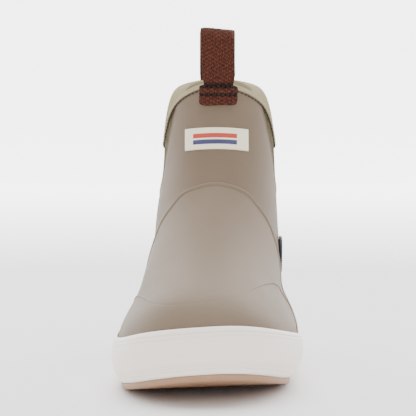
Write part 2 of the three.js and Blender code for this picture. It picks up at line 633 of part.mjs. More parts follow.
/** One webbing pull loop: sewn tabs outside and inside the collar, and the loop that folds outwards. */
function addPullLoop(prefix, phi, collarHeight) {
  const edge = surfacePoint(phi, 1);
  const outwards = phi === 0 ? -1 : 1;
  const left = edge.x - WEBBING_WIDTH / 2;
  const right = edge.x + WEBBING_WIDTH / 2;
  const wide = rings[LAST_RING].wide * FOOT_LENGTH;
  const [near, far] = phi === 0 ? [0, wide] : [wide, 2 * FOOT_LENGTH];
  const tabTop = collarHeight - TAB_DROP;
  const tabBase = tabTop - TAB_LENGTH;
  const tabBox = boxCutter([left, near, tabBase], [right, far, tabTop]);
  add(`${prefix}_loop_tab`, toGeometry(toSolid(layer(outerTab)).intersect(tabBox)), finishes.webbing);
  add(`${prefix}_loop_inner_tab`, toGeometry(toSolid(layer(innerTab)).intersect(tabBox)), finishes.webbing);

  const stitchLayer = { inner: outerTab.outer + GAP, outer: outerTab.outer + GAP + THREAD };
  const inset = 2.4;
  const stitchFrame = boxCutter([left + inset, near, tabBase + inset], [right - inset, far, tabTop - inset])
    .subtract(boxCutter(
      [left + inset + THREAD, near - 1, tabBase + inset + THREAD],
      [right - inset - THREAD, far + 1, tabTop - inset - THREAD],
    ));
  const stitching = toSolid(layer(stitchLayer)).intersect(stitchFrame);
  add(`${prefix}_loop_stitching`, toGeometry(stitching), finishes.thread);

  const half = WEBBING_THICKNESS / 2;
  const outerLine = edge.y + outwards * (GAP + (outerTab.inner + outerTab.outer) / 2);
  const innerLine = edge.y + (outwards * (innerTab.inner + innerTab.outer)) / 2;
  const hinge = tabTop + GAP + half;
  const innerEnd = collarHeight + BINDING_ROOF + BINDING_WALL + GAP + half;
  const spread = Math.abs(outerLine - innerLine) / 2;
  const archHeight = collarHeight + LOOP_HEIGHT - spread - half;
  const middle = (outerLine + innerLine) / 2;
  const outline = new THREE.Shape();
  outline.absarc(middle, archHeight, spread + half, 0, Math.PI, false);
  const ends = outwards < 0 ? [hinge, innerEnd] : [innerEnd, hinge];
  outline.absarc(middle - spread, ends[0], half, Math.PI, 2 * Math.PI, false);
  outline.absarc(middle, archHeight, spread - half, Math.PI, 0, true);
  outline.absarc(middle + spread, ends[1], half, Math.PI, 2 * Math.PI, false);
  outline.closePath();
  const strap = new THREE.ExtrudeGeometry(outline, {
    depth: WEBBING_WIDTH, bevelEnabled: false, curveSegments: 8,
  });
  strap.applyMatrix4(new THREE.Matrix4().makeBasis(
    new THREE.Vector3(0, 1, 0), new THREE.Vector3(0, 0, 1), new THREE.Vector3(1, 0, 0),
  ));
  strap.translate(left, 0, 0);
  add(`${prefix}_loop`, strap, finishes.webbing);
}

addSole();
addUpper();
addCollar();
addTrim();
addPullLoop('front', 0, COLLAR_FRONT);
addPullLoop('rear', Math.PI, COLLAR_BACK);

// The origin is the middle of the boot's footprint box, on the ground.
const box = new THREE.Box3().setFromObject(boot);
boot.position.set(-(box.min.x + box.max.x) / 2, -(box.min.y + box.max.y) / 2, -box.min.z);

export default boot;
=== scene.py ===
"""A pull-on deck boot for the left foot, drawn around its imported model.

Every layer of the upper is an offset of one last surface: eleven girth rings joined by a B-spline.
Lengths are millimetres until a piece becomes a mesh. The toe points to -Y and the outer side is +X.
"""

import bpy
import numpy as np
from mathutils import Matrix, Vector


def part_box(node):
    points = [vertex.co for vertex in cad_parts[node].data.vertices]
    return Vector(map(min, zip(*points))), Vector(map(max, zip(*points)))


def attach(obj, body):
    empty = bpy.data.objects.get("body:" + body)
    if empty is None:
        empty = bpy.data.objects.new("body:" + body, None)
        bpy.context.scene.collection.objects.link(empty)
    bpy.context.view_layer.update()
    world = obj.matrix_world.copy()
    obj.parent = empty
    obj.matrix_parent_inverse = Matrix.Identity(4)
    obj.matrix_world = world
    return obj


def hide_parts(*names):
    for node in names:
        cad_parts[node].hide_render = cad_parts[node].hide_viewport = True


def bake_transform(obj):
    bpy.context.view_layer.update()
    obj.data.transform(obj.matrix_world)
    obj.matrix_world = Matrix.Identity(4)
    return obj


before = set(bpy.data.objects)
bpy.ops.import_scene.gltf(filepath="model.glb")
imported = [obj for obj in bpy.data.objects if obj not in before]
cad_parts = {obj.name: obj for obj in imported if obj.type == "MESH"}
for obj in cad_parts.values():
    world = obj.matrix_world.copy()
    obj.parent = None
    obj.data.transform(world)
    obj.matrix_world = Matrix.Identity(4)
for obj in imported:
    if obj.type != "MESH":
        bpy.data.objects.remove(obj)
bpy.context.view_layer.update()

# ---------- driving sizes, in millimetres ----------
LENGTH = 289.0
BALL = 52.5
SHAFT = 33.8
COLLAR_FRONT, COLLAR_SIDE, COLLAR_BACK = 177.7, 137.7, 176.4
SOLE_EDGE = 3.7
FOXING_HEIGHT = 26.4
FOXING_TOP = SOLE_EDGE + FOXING_HEIGHT
UPPER_START = 12.3
TOE_SPRING, SPRING_START, SPRING_SKEW = 16.5, 115.0, 0.25
RISE = COLLAR_FRONT - FOXING_TOP

# Girth rings: height shares (front, side, back); length shares (toe, wide, heel); half width;
# squareness in front and behind; share of the arch's hollow; lean to the outer side.
RINGS = np.array([
    [0, 0, 0, 0.017, 0.318, 0.986, 0.915 * BALL, 0.80, 0.60, 1.0, -0.03],
    [0, 0, 0, 0.000, 0.318, 1.000, 0.985 * BALL, 0.78, 0.60, 1.0, 0],
    [0, 0, 0, 0.000, 0.322, 1.000, 0.975 * BALL, 0.78, 0.62, 0.9, 0],
    [0.181, 0.100, 0.080, 0.021, 0.339, 0.997, 0.890 * BALL, 0.82, 0.64, 0.6, 0],
    [0.228, 0.200, 0.163, 0.076, 0.388, 0.991, 0.755 * BALL, 0.88, 0.70, 0.3, 0],
    [0.272, 0.300, 0.244, 0.208, 0.519, 0.983, 1.150 * SHAFT, 0.92, 0.80, 0.1, -0.01],
    [0.349, 0.410, 0.325, 0.360, 0.644, 0.969, 1.120 * SHAFT, 0.95, 0.90, 0, -0.01],
    [0.463, 0.540, 0.414, 0.484, 0.713, 0.953, 1.110 * SHAFT, 0.97, 0.95, 0, -0.02],
    [0.617, 0.670, 0.569, 0.557, 0.740, 0.943, 1.075 * SHAFT, 0.98, 0.98, 0, 0],
    [0.800, 0.835, 0.793, 0.581, 0.758, 0.948, 1.020 * SHAFT, 1.00, 1.00, 0, 0.03],
    [1.000, 1.000, 1.000, 0.588, 0.768, 0.965, 1.000 * SHAFT, 1.00, 1.00, 0, 0.03],
])
SOLE_RINGS = 3
LAST_RING = len(RINGS) - 1

# Panel edges in the side view: share of the length, share of the rise above the foxing.
CAP_EDGE = [(-0.1, 0.185), (0.06, 0.185), (0.22, 0.185), (0.35, 0.165), (0.43, 0.105),
            (0.465, 0.02), (0.475, -0.2)]
VAMP_EDGE = [(0.3, 0.584), (0.533, 0.584), (0.56, 0.53), (0.572, 0.46), (0.568, 0.4),
             (0.545, 0.31), (0.512, 0.235), (0.498, 0.13), (0.494, 0), (0.494, -0.2)]
GORE_EDGE = [(0.637, 1.15), (0.641, 0.96), (0.664, 0.83), (0.7, 0.68), (0.725, 0.57),
             (0.77, 0.515), (0.815, 0.57), (0.85, 0.7), (0.885, 0.87), (0.905, 0.98), (0.91, 1.15)]
HEEL_EDGE = [(1.1, 0.26), (0.985, 0.26), (0.94, 0.22), (0.865, 0.1), (0.84, 0), (0.83, -0.2)]
CAP_TILT = 0.1

# Offsets of the layers from the bootie's face.
BOOTIE = (-2.8, 0.0)
REINFORCEMENT = (-3.8, -3.1)
LINING = (-5.0, -4.1)
RUBBER = (0.95, 1.7)
GORE = (0.3, 0.85)
OVERLAY = (2.0, 3.0)
TAB = (3.1, 5.0)
INNER_TAB = (-8.3, -6.4)
INSIDE = LINING[0] - 0.9      # the footbed's outline

MIDSOLE_TOP, BOARD_BASE, FOOTBED_BASE, COVER_BASE, COVER_TOP = 11.7, 12.0, 14.3, 19.1, 20.3
TREAD_PITCH = 13              # from one chevron groove to the next
LOOP_RISE = 34.5              # both pull loops stand this high over the collar
LOOP_OUT, LOOP_IN = 4.35, 7.35            # the loops' legs, from the collar's edge
WEBBING_HALF = 0.95           # half the webbing's thickness
LABEL_HALF, LABEL_HEIGHT = 18.4, 13.6
LABEL_ROUND = 44.6            # the label's width measured round the shin
LABEL_LOW, LABEL_DROOP, LABEL_BACK = 136.8, 1.7, 1.76
BADGE_BACK = 1.75             # the badge starts this far out from the bootie
COLLAR_STITCH, TAB_STITCH = 3.1, 2.2      # from one stitch to the next


def smooth(share):
    """The S-shaped step 3s² - 2s³, level before 0 and after 1."""
    share = np.clip(share, 0, 1)
    return share * share * (3 - 2 * share)


def hump(distance, width):
    """A rounded ridge: the bell curve exp(-(distance / width)²)."""
    return np.exp(-((distance / width) ** 2))


def roll(distance, radius):
    """Depth of a quarter round along an edge: radius - sqrt(radius² - (radius - distance)²)."""
    over = np.clip(radius - distance, 0, radius)
    return radius - np.sqrt(radius**2 - over**2)


# ---------- the last surface ----------
def centre_line(y):
    """Sideways place of the centre line: a parabola to the toe and two S-shaped steps behind."""
    ball = RINGS[1, 4] * LENGTH
    ahead = np.clip((ball - y) / ball, 0, None)
    up_shaft = smooth((y / LENGTH - 0.346) / 0.3)
    behind = smooth((y / LENGTH - 0.6) / 0.38)
    return -3 * ahead**2 + 4.5 * up_shaft - 1.5 * behind


def sole_rise(x, y):
    """Height of the sole's underside: level to the ball, then a parabola up to the toe."""
    return TOE_SPRING * np.clip((SPRING_START + SPRING_SKEW * x - y) / SPRING_START, 0, None) ** 2


def ring(number, angle):
    """Points of one girth ring: an egg of cosines and powered sines, hollowed at the arch.

    The sole's rings keep parallel to the sole. The others rise from side to front and back with
    cos², and the top one with a flatter dip between two steeper ends.
    """
    front, side, back, toe, wide, heel, half, square_front, square_back, waist, lean = RINGS[number]
    c, s = np.cos(angle), np.sin(angle)
    ahead = c >= 0
    y = (wide - np.where(ahead, wide - toe, heel - wide) * c) * LENGTH
    arch = np.where(s > 0, 0.05, 0.17) * hump(y - 0.606 * LENGTH, 0.131 * LENGTH)
    egg = np.sign(s) * np.abs(s) ** np.where(ahead, square_front, square_back)
    x = half * egg * (1 - waist * arch) * (1 + lean * np.sign(s)) + centre_line(y)
    if number < SOLE_RINGS:
        z = SOLE_EDGE + FOXING_HEIGHT * number / (SOLE_RINGS - 1) + sole_rise(x, y)
        return np.stack([x, y, z], -1)
    peak = FOXING_TOP + np.where(ahead, front * RISE, back * (COLLAR_BACK - FOXING_TOP))
    dip = FOXING_TOP + side * (COLLAR_SIDE - FOXING_TOP)
    share = c * c
    if number == LAST_RING:
        share = np.where(ahead, 1 - 0.47 * s**2 - 0.53 * s**10, 1 - 0.17 * s**2 - 0.83 * s**12)
    return np.stack([x, y, dip + (peak - dip) * share], -1)


def last_point(angle, height):
    """The rings joined by a uniform cubic B-spline; height runs from 0 to 1."""
    angle, height = np.broadcast_arrays(np.asarray(angle, float), np.asarray(height, float))
    rings = [ring(number, angle) for number in range(LAST_RING + 1)]
    rings = np.array([2 * rings[0] - rings[1], *rings, 2 * rings[-1] - rings[-2]])
    place = np.clip(height, 0, 1) * LAST_RING
    first = np.minimum(place.astype(int), LAST_RING - 1)
    f = (place - first)[..., None]
    weights = [(1 - f) ** 3, 3 * f**3 - 6 * f**2 + 4, -3 * f**3 + 3 * f**2 + 3 * f + 1, f**3]
    chosen = [np.take_along_axis(rings, (first + step)[None, ..., None], 0)[0] for step in range(4)]
    return sum(weight * point for weight, point in zip(weights, chosen)) / 6


def unit(vectors):
    return vectors / (np.linalg.norm(vectors, axis=-1, keepdims=True) + 1e-12)


def last_frame(angle, height):
    """The surface's point and its directions around, up and outwards."""
    step = 1e-3
    around = unit(last_point(angle + step, height) - last_point(angle - step, height))
    up = unit(last_point(angle, np.minimum(height + step, 1))
              - last_point(angle, np.maximum(height - step, 0)))
    return last_point(angle, height), around, up, unit(np.cross(around, up))


def offset_point(angle, height, out):
    """A point moved outwards, square to the last surface."""
    point, _, _, outwards = last_frame(angle, height)
    return point + outwards * np.asarray(out, float)[..., None]


def row_of(height):
    """The surface's row at a height above the sole's plane."""
    return (height - SOLE_EDGE) / FOXING_HEIGHT * (SOLE_RINGS - 1) / LAST_RING


def sole_point(angle, out, height):
    """A point at a height above the sole's curved plane, moved level and outwards."""
    out, height = np.asarray(out, float), np.asarray(height, float)
    point, _, _, outwards = last_frame(angle, row_of(np.maximum(height, SOLE_EDGE)))
    outwards = unit(outwards * [1, 1, 0])
    point = point + outwards * out[..., None]
    z = height + sole_rise(point[..., 0], point[..., 1])
    return np.stack([point[..., 0], point[..., 1], np.broadcast_to(z, point.shape[:-1])], -1)


BOTTOM = row_of(UPPER_START)
VISIBLE_BOTTOM = row_of(FOXING_TOP - 6)


# ---------- panel edges on the surface ----------
def spline(points, steps=8):
    """A smooth line through points: Catmull-Rom, the ends doubled."""
    points = np.asarray(points, float)
    padded = np.concatenate([points[:1], points, points[-1:]])
    f = np.linspace(0, 1, steps, endpoint=False)[:, None, None]
    a, b, c, d = padded[:-3], padded[1:-2], padded[2:-1], padded[3:]
    pieces = 0.5 * (2 * b + (c - a) * f + (2 * a - 5 * b + 4 * c - d) * f**2
                    + (3 * b - a - 3 * c + d) * f**3)
    return np.concatenate([pieces.transpose(1, 0, 2).reshape(-1, points.shape[1]), points[-1:]])


def side_distance(y, z, edge):
    """Signed distance in the side view to a panel's edge; positive on its left going along it."""
    line = spline(np.asarray(edge) * [LENGTH, RISE] + [0, FOXING_TOP])
    start, run = line[:-1], np.diff(line, axis=0)
    where = np.stack([y, z], -1)[..., None, :] - start
    share = np.clip((where * run).sum(-1) / (run**2).sum(-1), 0, 1)
    away = where - share[..., None] * run
    distance = np.linalg.norm(away, axis=-1)
    nearest = distance.argmin(-1)[..., None]
    cross = run[:, 0] * where[..., 1] - run[:, 1] * where[..., 0]
    side = np.sign(np.take_along_axis(cross, nearest, -1))[..., 0]
    return side * np.take_along_axis(distance, nearest, -1)[..., 0]


def edge_row(angle, edge, low, high, tilt=0.0, bow=0.0):
    """For each angle, the row where the surface crosses a panel's edge, by halving the interval.

    tilt lowers the outer side evenly; bow lowers both sides in an S-shaped step, 26 mm long.
    """
    def beyond(row):
        x, y, z = np.moveaxis(last_point(angle, row), -1, 0)
        return side_distance(y, z - tilt * x + bow * smooth(np.abs(x - 4) / 26), edge)

    low, high = np.full(angle.shape, low), np.full(angle.shape, high)
    sign = np.sign(beyond(high))
    for _ in range(22):
        middle = (low + high) / 2
        above = np.sign(beyond(middle)) == sign
        low, high = np.where(above, low, middle), np.where(above, middle, high)
    return (low + high) / 2


def lengths_along(points):
    """Length from a line's first point to each of its points, or the same up a grid's columns."""
    steps = np.linalg.norm(np.diff(points, axis=0), axis=-1)
    return np.concatenate([np.zeros_like(steps[:1]), np.cumsum(steps, axis=0)])


def evenly(angle, height, count):
    """The same line on the surface, cut into equal lengths."""
    length = lengths_along(last_point(angle, height))
    places = np.linspace(0, length[-1], count)
    return np.interp(places, length, angle), np.interp(places, length, height)


# ---------- meshes ----------
PLACE = np.zeros(3)           # moves the boot into the frame; measured before the first piece


def cells(grid):
    """The four corners of every cell of a grid, in turn."""
    corners = [grid[:-1, :-1], grid[:-1, 1:], grid[1:, 1:], grid[1:, :-1]]
    return np.stack(corners, axis=2).reshape(-1, 4, *grid.shape[2:])


class Skin:
    """A mesh sewn from grids of points. cover() adds a face for each cell of a grid of numbers."""

    def __init__(self):
        self.points, self.marks, self.faces, self.charts = [], [], [], []
        self.count = 0

    def grid(self, points, mark=0.0):
        """Adds points and the painted shade they carry; returns their numbers."""
        shape = points.shape[:-1]
        numbers = self.count + np.arange(points.size // 3).reshape(shape)
        self.points.append(points.reshape(-1, 3))
        self.marks.append(np.broadcast_to(mark, shape).ravel())
        self.count += numbers.size
        return numbers

    def cover(self, numbers, chart=None):
        """Faces between neighbouring numbers; chart gives each corner its place on the cloth."""
        if chart is None:
            chart = np.zeros(numbers.shape + (2,))
        self.faces.append(cells(numbers))
        self.charts.append(cells(chart))


def placed(name, data):
    """A new object in the scene."""
    made = bpy.data.objects.new(name, data)
    bpy.context.scene.collection.objects.link(made)
    return made


def piece(name, skin, finish, body="boot", sharp=50):
    """Makes the mesh that stands for the CAD node called name.

    A corner that repeats the one before it is dropped, so poles close.
    """
    faces, chart = np.concatenate(skin.faces), np.concatenate(skin.charts)
    kept = faces != np.roll(faces, 1, axis=1)
    whole = kept.sum(1) >= 3
    kept &= whole[:, None]
    sizes = kept.sum(1)[whole]
    mesh = bpy.data.meshes.new(name + "_fine")
    mesh.vertices.add(skin.count)
    points = (np.concatenate(skin.points) + PLACE) * 0.001
    mesh.vertices.foreach_set("co", points.astype(np.float32).ravel())
    mesh.loops.add(int(sizes.sum()))
    mesh.loops.foreach_set("vertex_index", faces[kept].astype(np.int32))
    mesh.polygons.add(len(sizes))
    starts = np.concatenate([[0], np.cumsum(sizes)[:-1]])
    mesh.polygons.foreach_set("loop_start", starts.astype(np.int32))
    mesh.uv_layers.new(name="cloth").data.foreach_set("uv", chart[kept].astype(np.float32).ravel())
    # The attribute carries painted shade: the finishes darken their colour by it.
    mark = mesh.attributes.new("painted_shade", "FLOAT", "POINT")
    mark.data.foreach_set("value", np.concatenate(skin.marks).astype(np.float32))
    mesh.update(calc_edges=True)
    mesh.validate()
    mesh.polygons.foreach_set("use_smooth", np.ones(len(mesh.polygons), bool))
    mesh.set_sharp_from_angle(angle=np.radians(sharp))
    mesh.materials.append(finish)
    made = placed(mesh.name, mesh)
    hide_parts(name)
    if body:
        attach(made, body)
    return made


def chart_of(points):
    """Cloth coordinates of a grid: length along its middle row, and length up each column."""
    up = lengths_along(points)
    return np.stack([np.broadcast_to(lengths_along(points[len(points) // 2]), up.shape), up], -1)


def closed(numbers, axis):
    """A grid that comes back to its first row or column."""
    return np.concatenate([numbers, np.take(numbers, [0], axis)], axis)


def all_round(count):
    """Angles once round the boot, in one row."""
    return np.linspace(-np.pi, np.pi, count, endpoint=False)[None, :]


def hoop(points, mark=0.0):
    """Skins sections (rows) carried once around the boot (columns), closed both ways."""
    skin = Skin()
    numbers = skin.grid(points, mark)
    around = closed(points, 1)
    skin.cover(closed(closed(numbers, 1), 0), chart_of(closed(around, 0)))
    return skin


def pillow(outer, inner, mark=0.0, inner_shade_mark=0.0):
    """Skins two grids of one size, back to back, joined by four walls."""
    skin = Skin()
    a, b = skin.grid(outer, mark), skin.grid(inner, inner_shade_mark)
    chart = chart_of(outer)
    for numbers, place in ((a, chart), (b[::-1], chart[::-1]),
                           (np.stack([a[-1], b[-1]]), chart[[-1, -1]]),
                           (np.stack([b[0], a[0]]), chart[[0, 0]]),
                           (np.stack([b[:, 0], a[:, 0]], 1), chart[:, [0, 0]]),
                           (np.stack([a[:, -1], b[:, -1]], 1), chart[:, [-1, -1]])):
        skin.cover(numbers, place)
    return skin


def lengths_up(points):
    """Length from each grid point to the top row, and the length of its whole column."""
    up = lengths_along(points)
    return up[-1] - up, up[-1]


# ---------- finishes ----------
def shade(red, green, blue):
    """A colour given as it looks on a screen, 0 to 255, turned into light."""
    c = np.array([red, green, blue]) / 255
    return (*np.where(c <= 0.04045, c / 12.92, ((c + 0.055) / 1.055) ** 2.4).tolist(), 1.0)


class Wire:
    """An output socket with arithmetic: each operation adds a Math node."""

    def __init__(self, finish, socket):
        self.finish, self.socket = finish, socket

    def sum(self, operation, *terms, clamp=False):
        settings = {"operation": operation, "use_clamp": clamp}
        return self.finish.add("ShaderNodeMath", settings, dict(enumerate(terms)))

    def __add__(self, other):
        return self.sum("ADD", self, other)

    def __sub__(self, other):
        return self.sum("SUBTRACT", self, other)

    def __rsub__(self, other):
        return self.sum("SUBTRACT", other, self)

    def __mul__(self, other):
        return self.sum("MULTIPLY", self, other)

    def __truediv__(self, other):
        return self.sum("DIVIDE", self, other)

    def __mod__(self, other):
        return self.sum("FLOORED_MODULO", self, other)

    def __gt__(self, other):
        return self.sum("GREATER_THAN", self, other)

    def __lt__(self, other):
        return self.sum("LESS_THAN", self, other)

    __radd__ = __add__
    __rmul__ = __mul__

    def wave(self):
        """Cosine of turns, from 0 to 1: it is 1 at each whole number."""
        return self.sum("COSINE", self * (2 * np.pi)) * 0.5 + 0.5

    def floor(self):
        return self.sum("FLOOR", self)

    def size(self):
        return self.sum("ABSOLUTE", self)

    def kept(self):
        """The value held between 0 and 1."""
        return self.sum("ADD", self, 0, clamp=True)


class Finish:
    """A material on one Principled shader, built from wires."""

    def __init__(self, name, rough, specular=0.5):
        self.material = bpy.data.materials.new(name)
        self.material.use_nodes = True
        self.tree = self.material.node_tree
        self.shader = self.tree.nodes["Principled BSDF"]
        self.shader.inputs["Roughness"].default_value = rough
        self.shader.inputs["Specular IOR Level"].default_value = specular

    def add(self, kind, settings=None, inputs=None, output=0):
        """Adds a node: its settings first, then the values or wires of its sockets."""
        node = self.tree.nodes.new(kind)
        for key, value in (settings or {}).items():
            setattr(node, key, value)
        for key, value in (inputs or {}).items():
            if isinstance(value, Wire):
                self.tree.links.new(value.socket, node.inputs[key])
            else:
                node.inputs[key].default_value = value
        return Wire(self, node.outputs[output])

    def set(self, socket, wire):
        self.tree.links.new(wire.socket, self.shader.inputs[socket])

    def finished(self, colour, normal, rough=None):
        """Joins the last wires to the shader and gives the material."""
        self.set("Base Color", colour)
        self.set("Normal", normal)
        if rough:
            self.set("Roughness", rough)
        return self.material

    def place(self):
        return self.add("ShaderNodeTexCoord", output="Object")

    def chart(self):
        return self.add("ShaderNodeUVMap", {"uv_map": "cloth"})

    def cloth(self):
        """The cloth coordinates in millimetres: across and along."""
        split = self.add("ShaderNodeSeparateXYZ", None, {0: self.chart()})
        return split, Wire(self, split.socket.node.outputs[1])

    # The painted shade a mesh carries, read as a factor that darkens the colour.
    def painted_shade(self):
        return self.add("ShaderNodeAttribute", {"attribute_name": "painted_shade"}, output="Fac")

    def noise(self, size, detail=3.0, rough=0.55):
        """Cloudy noise whose features are about `size` millimetres."""
        return self.add("ShaderNodeTexNoise", None, {
            "Vector": self.place(), "Scale": 1000 / size, "Detail": detail, "Roughness": rough})

    def speckle(self, size):
        """One random value for each grain of about `size` millimetres."""
        inputs = {"Vector": self.place(), "Scale": 1000 / size}
        grain = self.add("ShaderNodeTexVoronoi", None, inputs, "Color")
        return self.add("ShaderNodeSeparateColor", None, {0: grain})

    def cloth_noise(self, scale, detail=2.0):
        """Noise on the cloth's own coordinates; scale is (across, along) per millimetre."""
        where = self.add("ShaderNodeMapping", None, {"Vector": self.chart(), "Scale": (*scale, 1)})
        return self.add("ShaderNodeTexNoise", None, {"Vector": where, "Scale": 1, "Detail": detail})

    def blend(self, factor, first, second):
        """Mixes two colours."""
        return self.add("ShaderNodeMix", {"data_type": "RGBA"}, {0: factor, 6: first, 7: second}, 2)

    def yarns(self, tone, yarn, shadow, hollow, deep):
        """Mixed yarn tones, with painted shade in the hollows, where they sink to a share of the
        shadow's light.
        """
        return self.blend(hollow, self.blend(tone.kept(), shadow, yarn), darker(shadow, deep))

    def relief(self, height, depth, under=None, strength=1.0):
        """Raises the surface by height times depth millimetres, over another relief if given."""
        inputs = {"Height": height, "Distance": depth / 1000, "Strength": strength}
        if under:
            inputs["Normal"] = under
        return self.add("ShaderNodeBump", None, inputs)


def darker(colour, share):
    """The same colour with a share of its light."""
    return (*(share * light for light in colour[:3]), 1.0)


def rubber(name, base, light, dark, rough, grain=0.05):
    """Matte moulded rubber: slow clouds of tone, fine grain, and painted shade in its creases and
    grooves.
    """
    f = Finish(name, rough, 0.3)
    colour = f.blend((f.noise(55, 4) * 1.6 - 0.3).kept(), dark, light)
    colour = f.blend(0.55, colour, base)
    colour = f.blend((f.speckle(0.9) > 0.965) * 0.16, colour, light)
    # Painted shade: the colour darkens where the mesh carries painted shade.
    colour = f.blend(f.painted_shade().kept() * 0.75, colour, darker(dark, 0.4))
    waves = f.relief(f.noise(24, 2), 0.5, strength=0.35)
    return f.finished(colour, f.relief(f.noise(0.5, 2), grain, waves, 0.6),
                      (f.noise(14, 3) * 0.16 + (rough - 0.08)).kept())


def knit(name, yarn, shadow, wale, course):
    """A jersey knit: V-shaped loops in wales and courses, with mixed yarn tones."""
    f = Finish(name, 0.95)
    across, along = f.cloth()
    lean = ((across / wale) % 1 - 0.5).size()
    loop = (along / course + lean * 1.2).wave()
    rib = lean.sum("SINE", lean * np.pi * 2).size()
    height = (loop * 0.6 + 0.4) * (rib * 0.75 + 0.25)
    tone = f.cloth_noise((1 / wale, 0.25), 2) * 1.5 - 0.25
    # Painted shade in the hollows between the loops.
    colour = f.yarns(tone, yarn, shadow, (1 - height).kept() * 0.55, 0.45)
    colour = f.blend(f.painted_shade().kept(), colour, darker(shadow, 0.35))
    fuzz = f.relief(f.noise(0.35, 3), 0.12, strength=0.35)
    return f.finished(colour, f.relief(height, min(wale, course) * 0.3, fuzz, 0.8))


def ribbed(name, yarn, shadow, pitch):
    """Elastic gore cloth: upright ribs, tight cross threads, and tone that varies between ribs."""
    f = Finish(name, 0.95, 0.2)
    across, along = f.cloth()
    rib = (across / pitch).wave()
    cross = (along / 0.7 + (across / pitch).floor() * 0.5).wave()
    tone = f.cloth_noise((1 / pitch, 0.12), 3) * 1.7 - 0.35
    # Painted shade in the hollows between ribs and cross threads.
    hollow = ((1 - rib) * 0.5 + (1 - cross) * 0.18).kept()
    fuzz = f.relief(f.noise(0.4, 3), 0.15, strength=0.4)
    return f.finished(f.yarns(tone, yarn, shadow, hollow, 0.38),
                      f.relief(rib + cross * 0.3, 0.45, fuzz, 0.9))


def twill(name, yarn, shadow, pitch):
    """Woven tape: slanting lines of yarn with painted shade in the joints between them."""
    f = Finish(name, 0.9, 0.25)
    across, along = f.cloth()
    slant = ((across + along) / pitch).wave()
    step = ((across - along * 0.35) / (pitch * 0.8)).wave()
    height = slant * 0.7 + step * 0.3
    tone = f.cloth_noise((0.9, 0.9), 3) * 1.4 - 0.2
    fuzz = f.relief(f.noise(0.3, 2), 0.08, strength=0.4)
    return f.finished(f.yarns(tone, yarn, shadow, (1 - height).kept() * 0.45, 0.5),
                      f.relief(height, pitch * 0.25, fuzz, 0.8))


def plaited(name, yarn, shadow, dark):
    """Coarse plaited webbing: fibres along each yarn, with painted shade where the yarns go under.
    """
    f = Finish(name, 0.88, 0.25)
    fibres = f.cloth_noise((5.0, 1.2), 3)
    tone = f.cloth_noise((0.95, 0.5), 2)
    colour = f.blend((tone * 3.0 - 1.1).kept(), shadow, yarn)
    colour = f.blend((fibres * 2.0 - 0.9).kept() * 0.45, colour, yarn)
    # Painted shade between the yarns and in stitched dents.
    colour = f.blend(f.painted_shade().kept(), colour, dark)
    fuzz = f.relief(f.noise(0.3, 2), 0.1, strength=0.5)
    return f.finished(colour, f.relief(fibres, 0.25, fuzz, 0.7), (fibres * 0.15 + 0.78).kept())


def foam(name, base, dark, pore):
    """Closed-cell foam: pores of mixed size, with clouds of tone."""
    f = Finish(name, 0.95)
    pores = f.add("ShaderNodeTexVoronoi", None, {"Vector": f.place(), "Scale": 1000 / pore})
    return f.finished(f.blend((pores * 1.3).kept() * 0.5 + f.noise(20, 3) * 0.3, base, dark),
                      f.relief(pores, pore * 0.3, f.relief(f.noise(0.3, 2), 0.05), 0.5))


def cord_thread(name, yarn, dark):
    """Sewing thread: a fine twist along each stitch."""
    f = Finish(name, 0.7)
    across, along = f.cloth()
    twist = ((across * 0.9 + along) / 0.55).wave()
    # Darker in the twist's grooves, which is painted shade, and in random clouds of tone.
    return f.finished(f.blend((1 - twist) * 0.6 + f.noise(3, 2) * 0.3, yarn, dark),
                      f.relief(twist, 0.1, f.relief(f.noise(0.15, 2), 0.03), 0.7))


def woven_label(name, ground, first, second):
    """Satin label: fine cross threads and two plain woven stripes that stop short of its ends."""
    f = Finish(name, 0.75, 0.25)
    across, along = f.cloth()
    weft = (along / 0.32).wave()
    warp = (across / 0.42 + (along / 0.32).floor() * 0.5).wave()
    tone = f.cloth_noise((0.4, 2.5), 3)
    colour = f.blend((tone * 1.2 - 0.2).kept() * 0.35, ground, darker(ground, 0.8))
    middle = (across / LABEL_ROUND - 0.5).size() < 0.33
    for stripe, height in ((first, 0.645), (second, 0.355)):
        inside = (along - height * LABEL_HEIGHT).size() < 0.105 * LABEL_HEIGHT
        colour = f.blend(middle * inside, colour, stripe)
    # Painted shade between the weft and warp threads.
    colour = f.blend((1 - weft) * 0.16 + (1 - warp) * 0.07, colour, darker(ground, 0.5))
    fuzz = f.relief(f.noise(0.3, 2), 0.04)
    return f.finished(colour, f.relief(weft * 0.7 + warp * 0.3, 0.09, fuzz, 0.8))


def moulded_sole(name, base, light, dark):
    """Gum rubber: warm clouds, dusty scuffs on the ground face, slanting sipes between grooves."""
    f = Finish(name, 0.58)
    across, along = f.cloth()
    colour = f.blend((f.noise(30, 4) * 1.5 - 0.25).kept(), dark, light)
    colour = f.blend(0.5, colour, base)
    colour = f.blend((f.noise(2.5, 5, 0.7) * 2.2 - 1.2).kept() * 0.25, colour, dark)
    phase = (along / TREAD_PITCH) % 1
    sipes = ((phase - 0.42).size() < 0.028) + ((phase - 0.74).size() < 0.028)
    cut = sipes * (across > 0.5)
    # Painted shade in the sipes' slits.
    colour = f.blend(cut * 0.6, colour, darker(dark, 0.3))
    # Painted shade in the tread's grooves.
    colour = f.blend(f.painted_shade().kept() * 0.6, colour, darker(dark, 0.4))
    grain = f.relief(f.noise(0.6, 3), 0.08, strength=0.6)
    return f.finished(colour, f.relief(1 - cut, 0.5, grain, 0.7),
                      (f.noise(6, 3) * 0.2 + 0.48).kept())


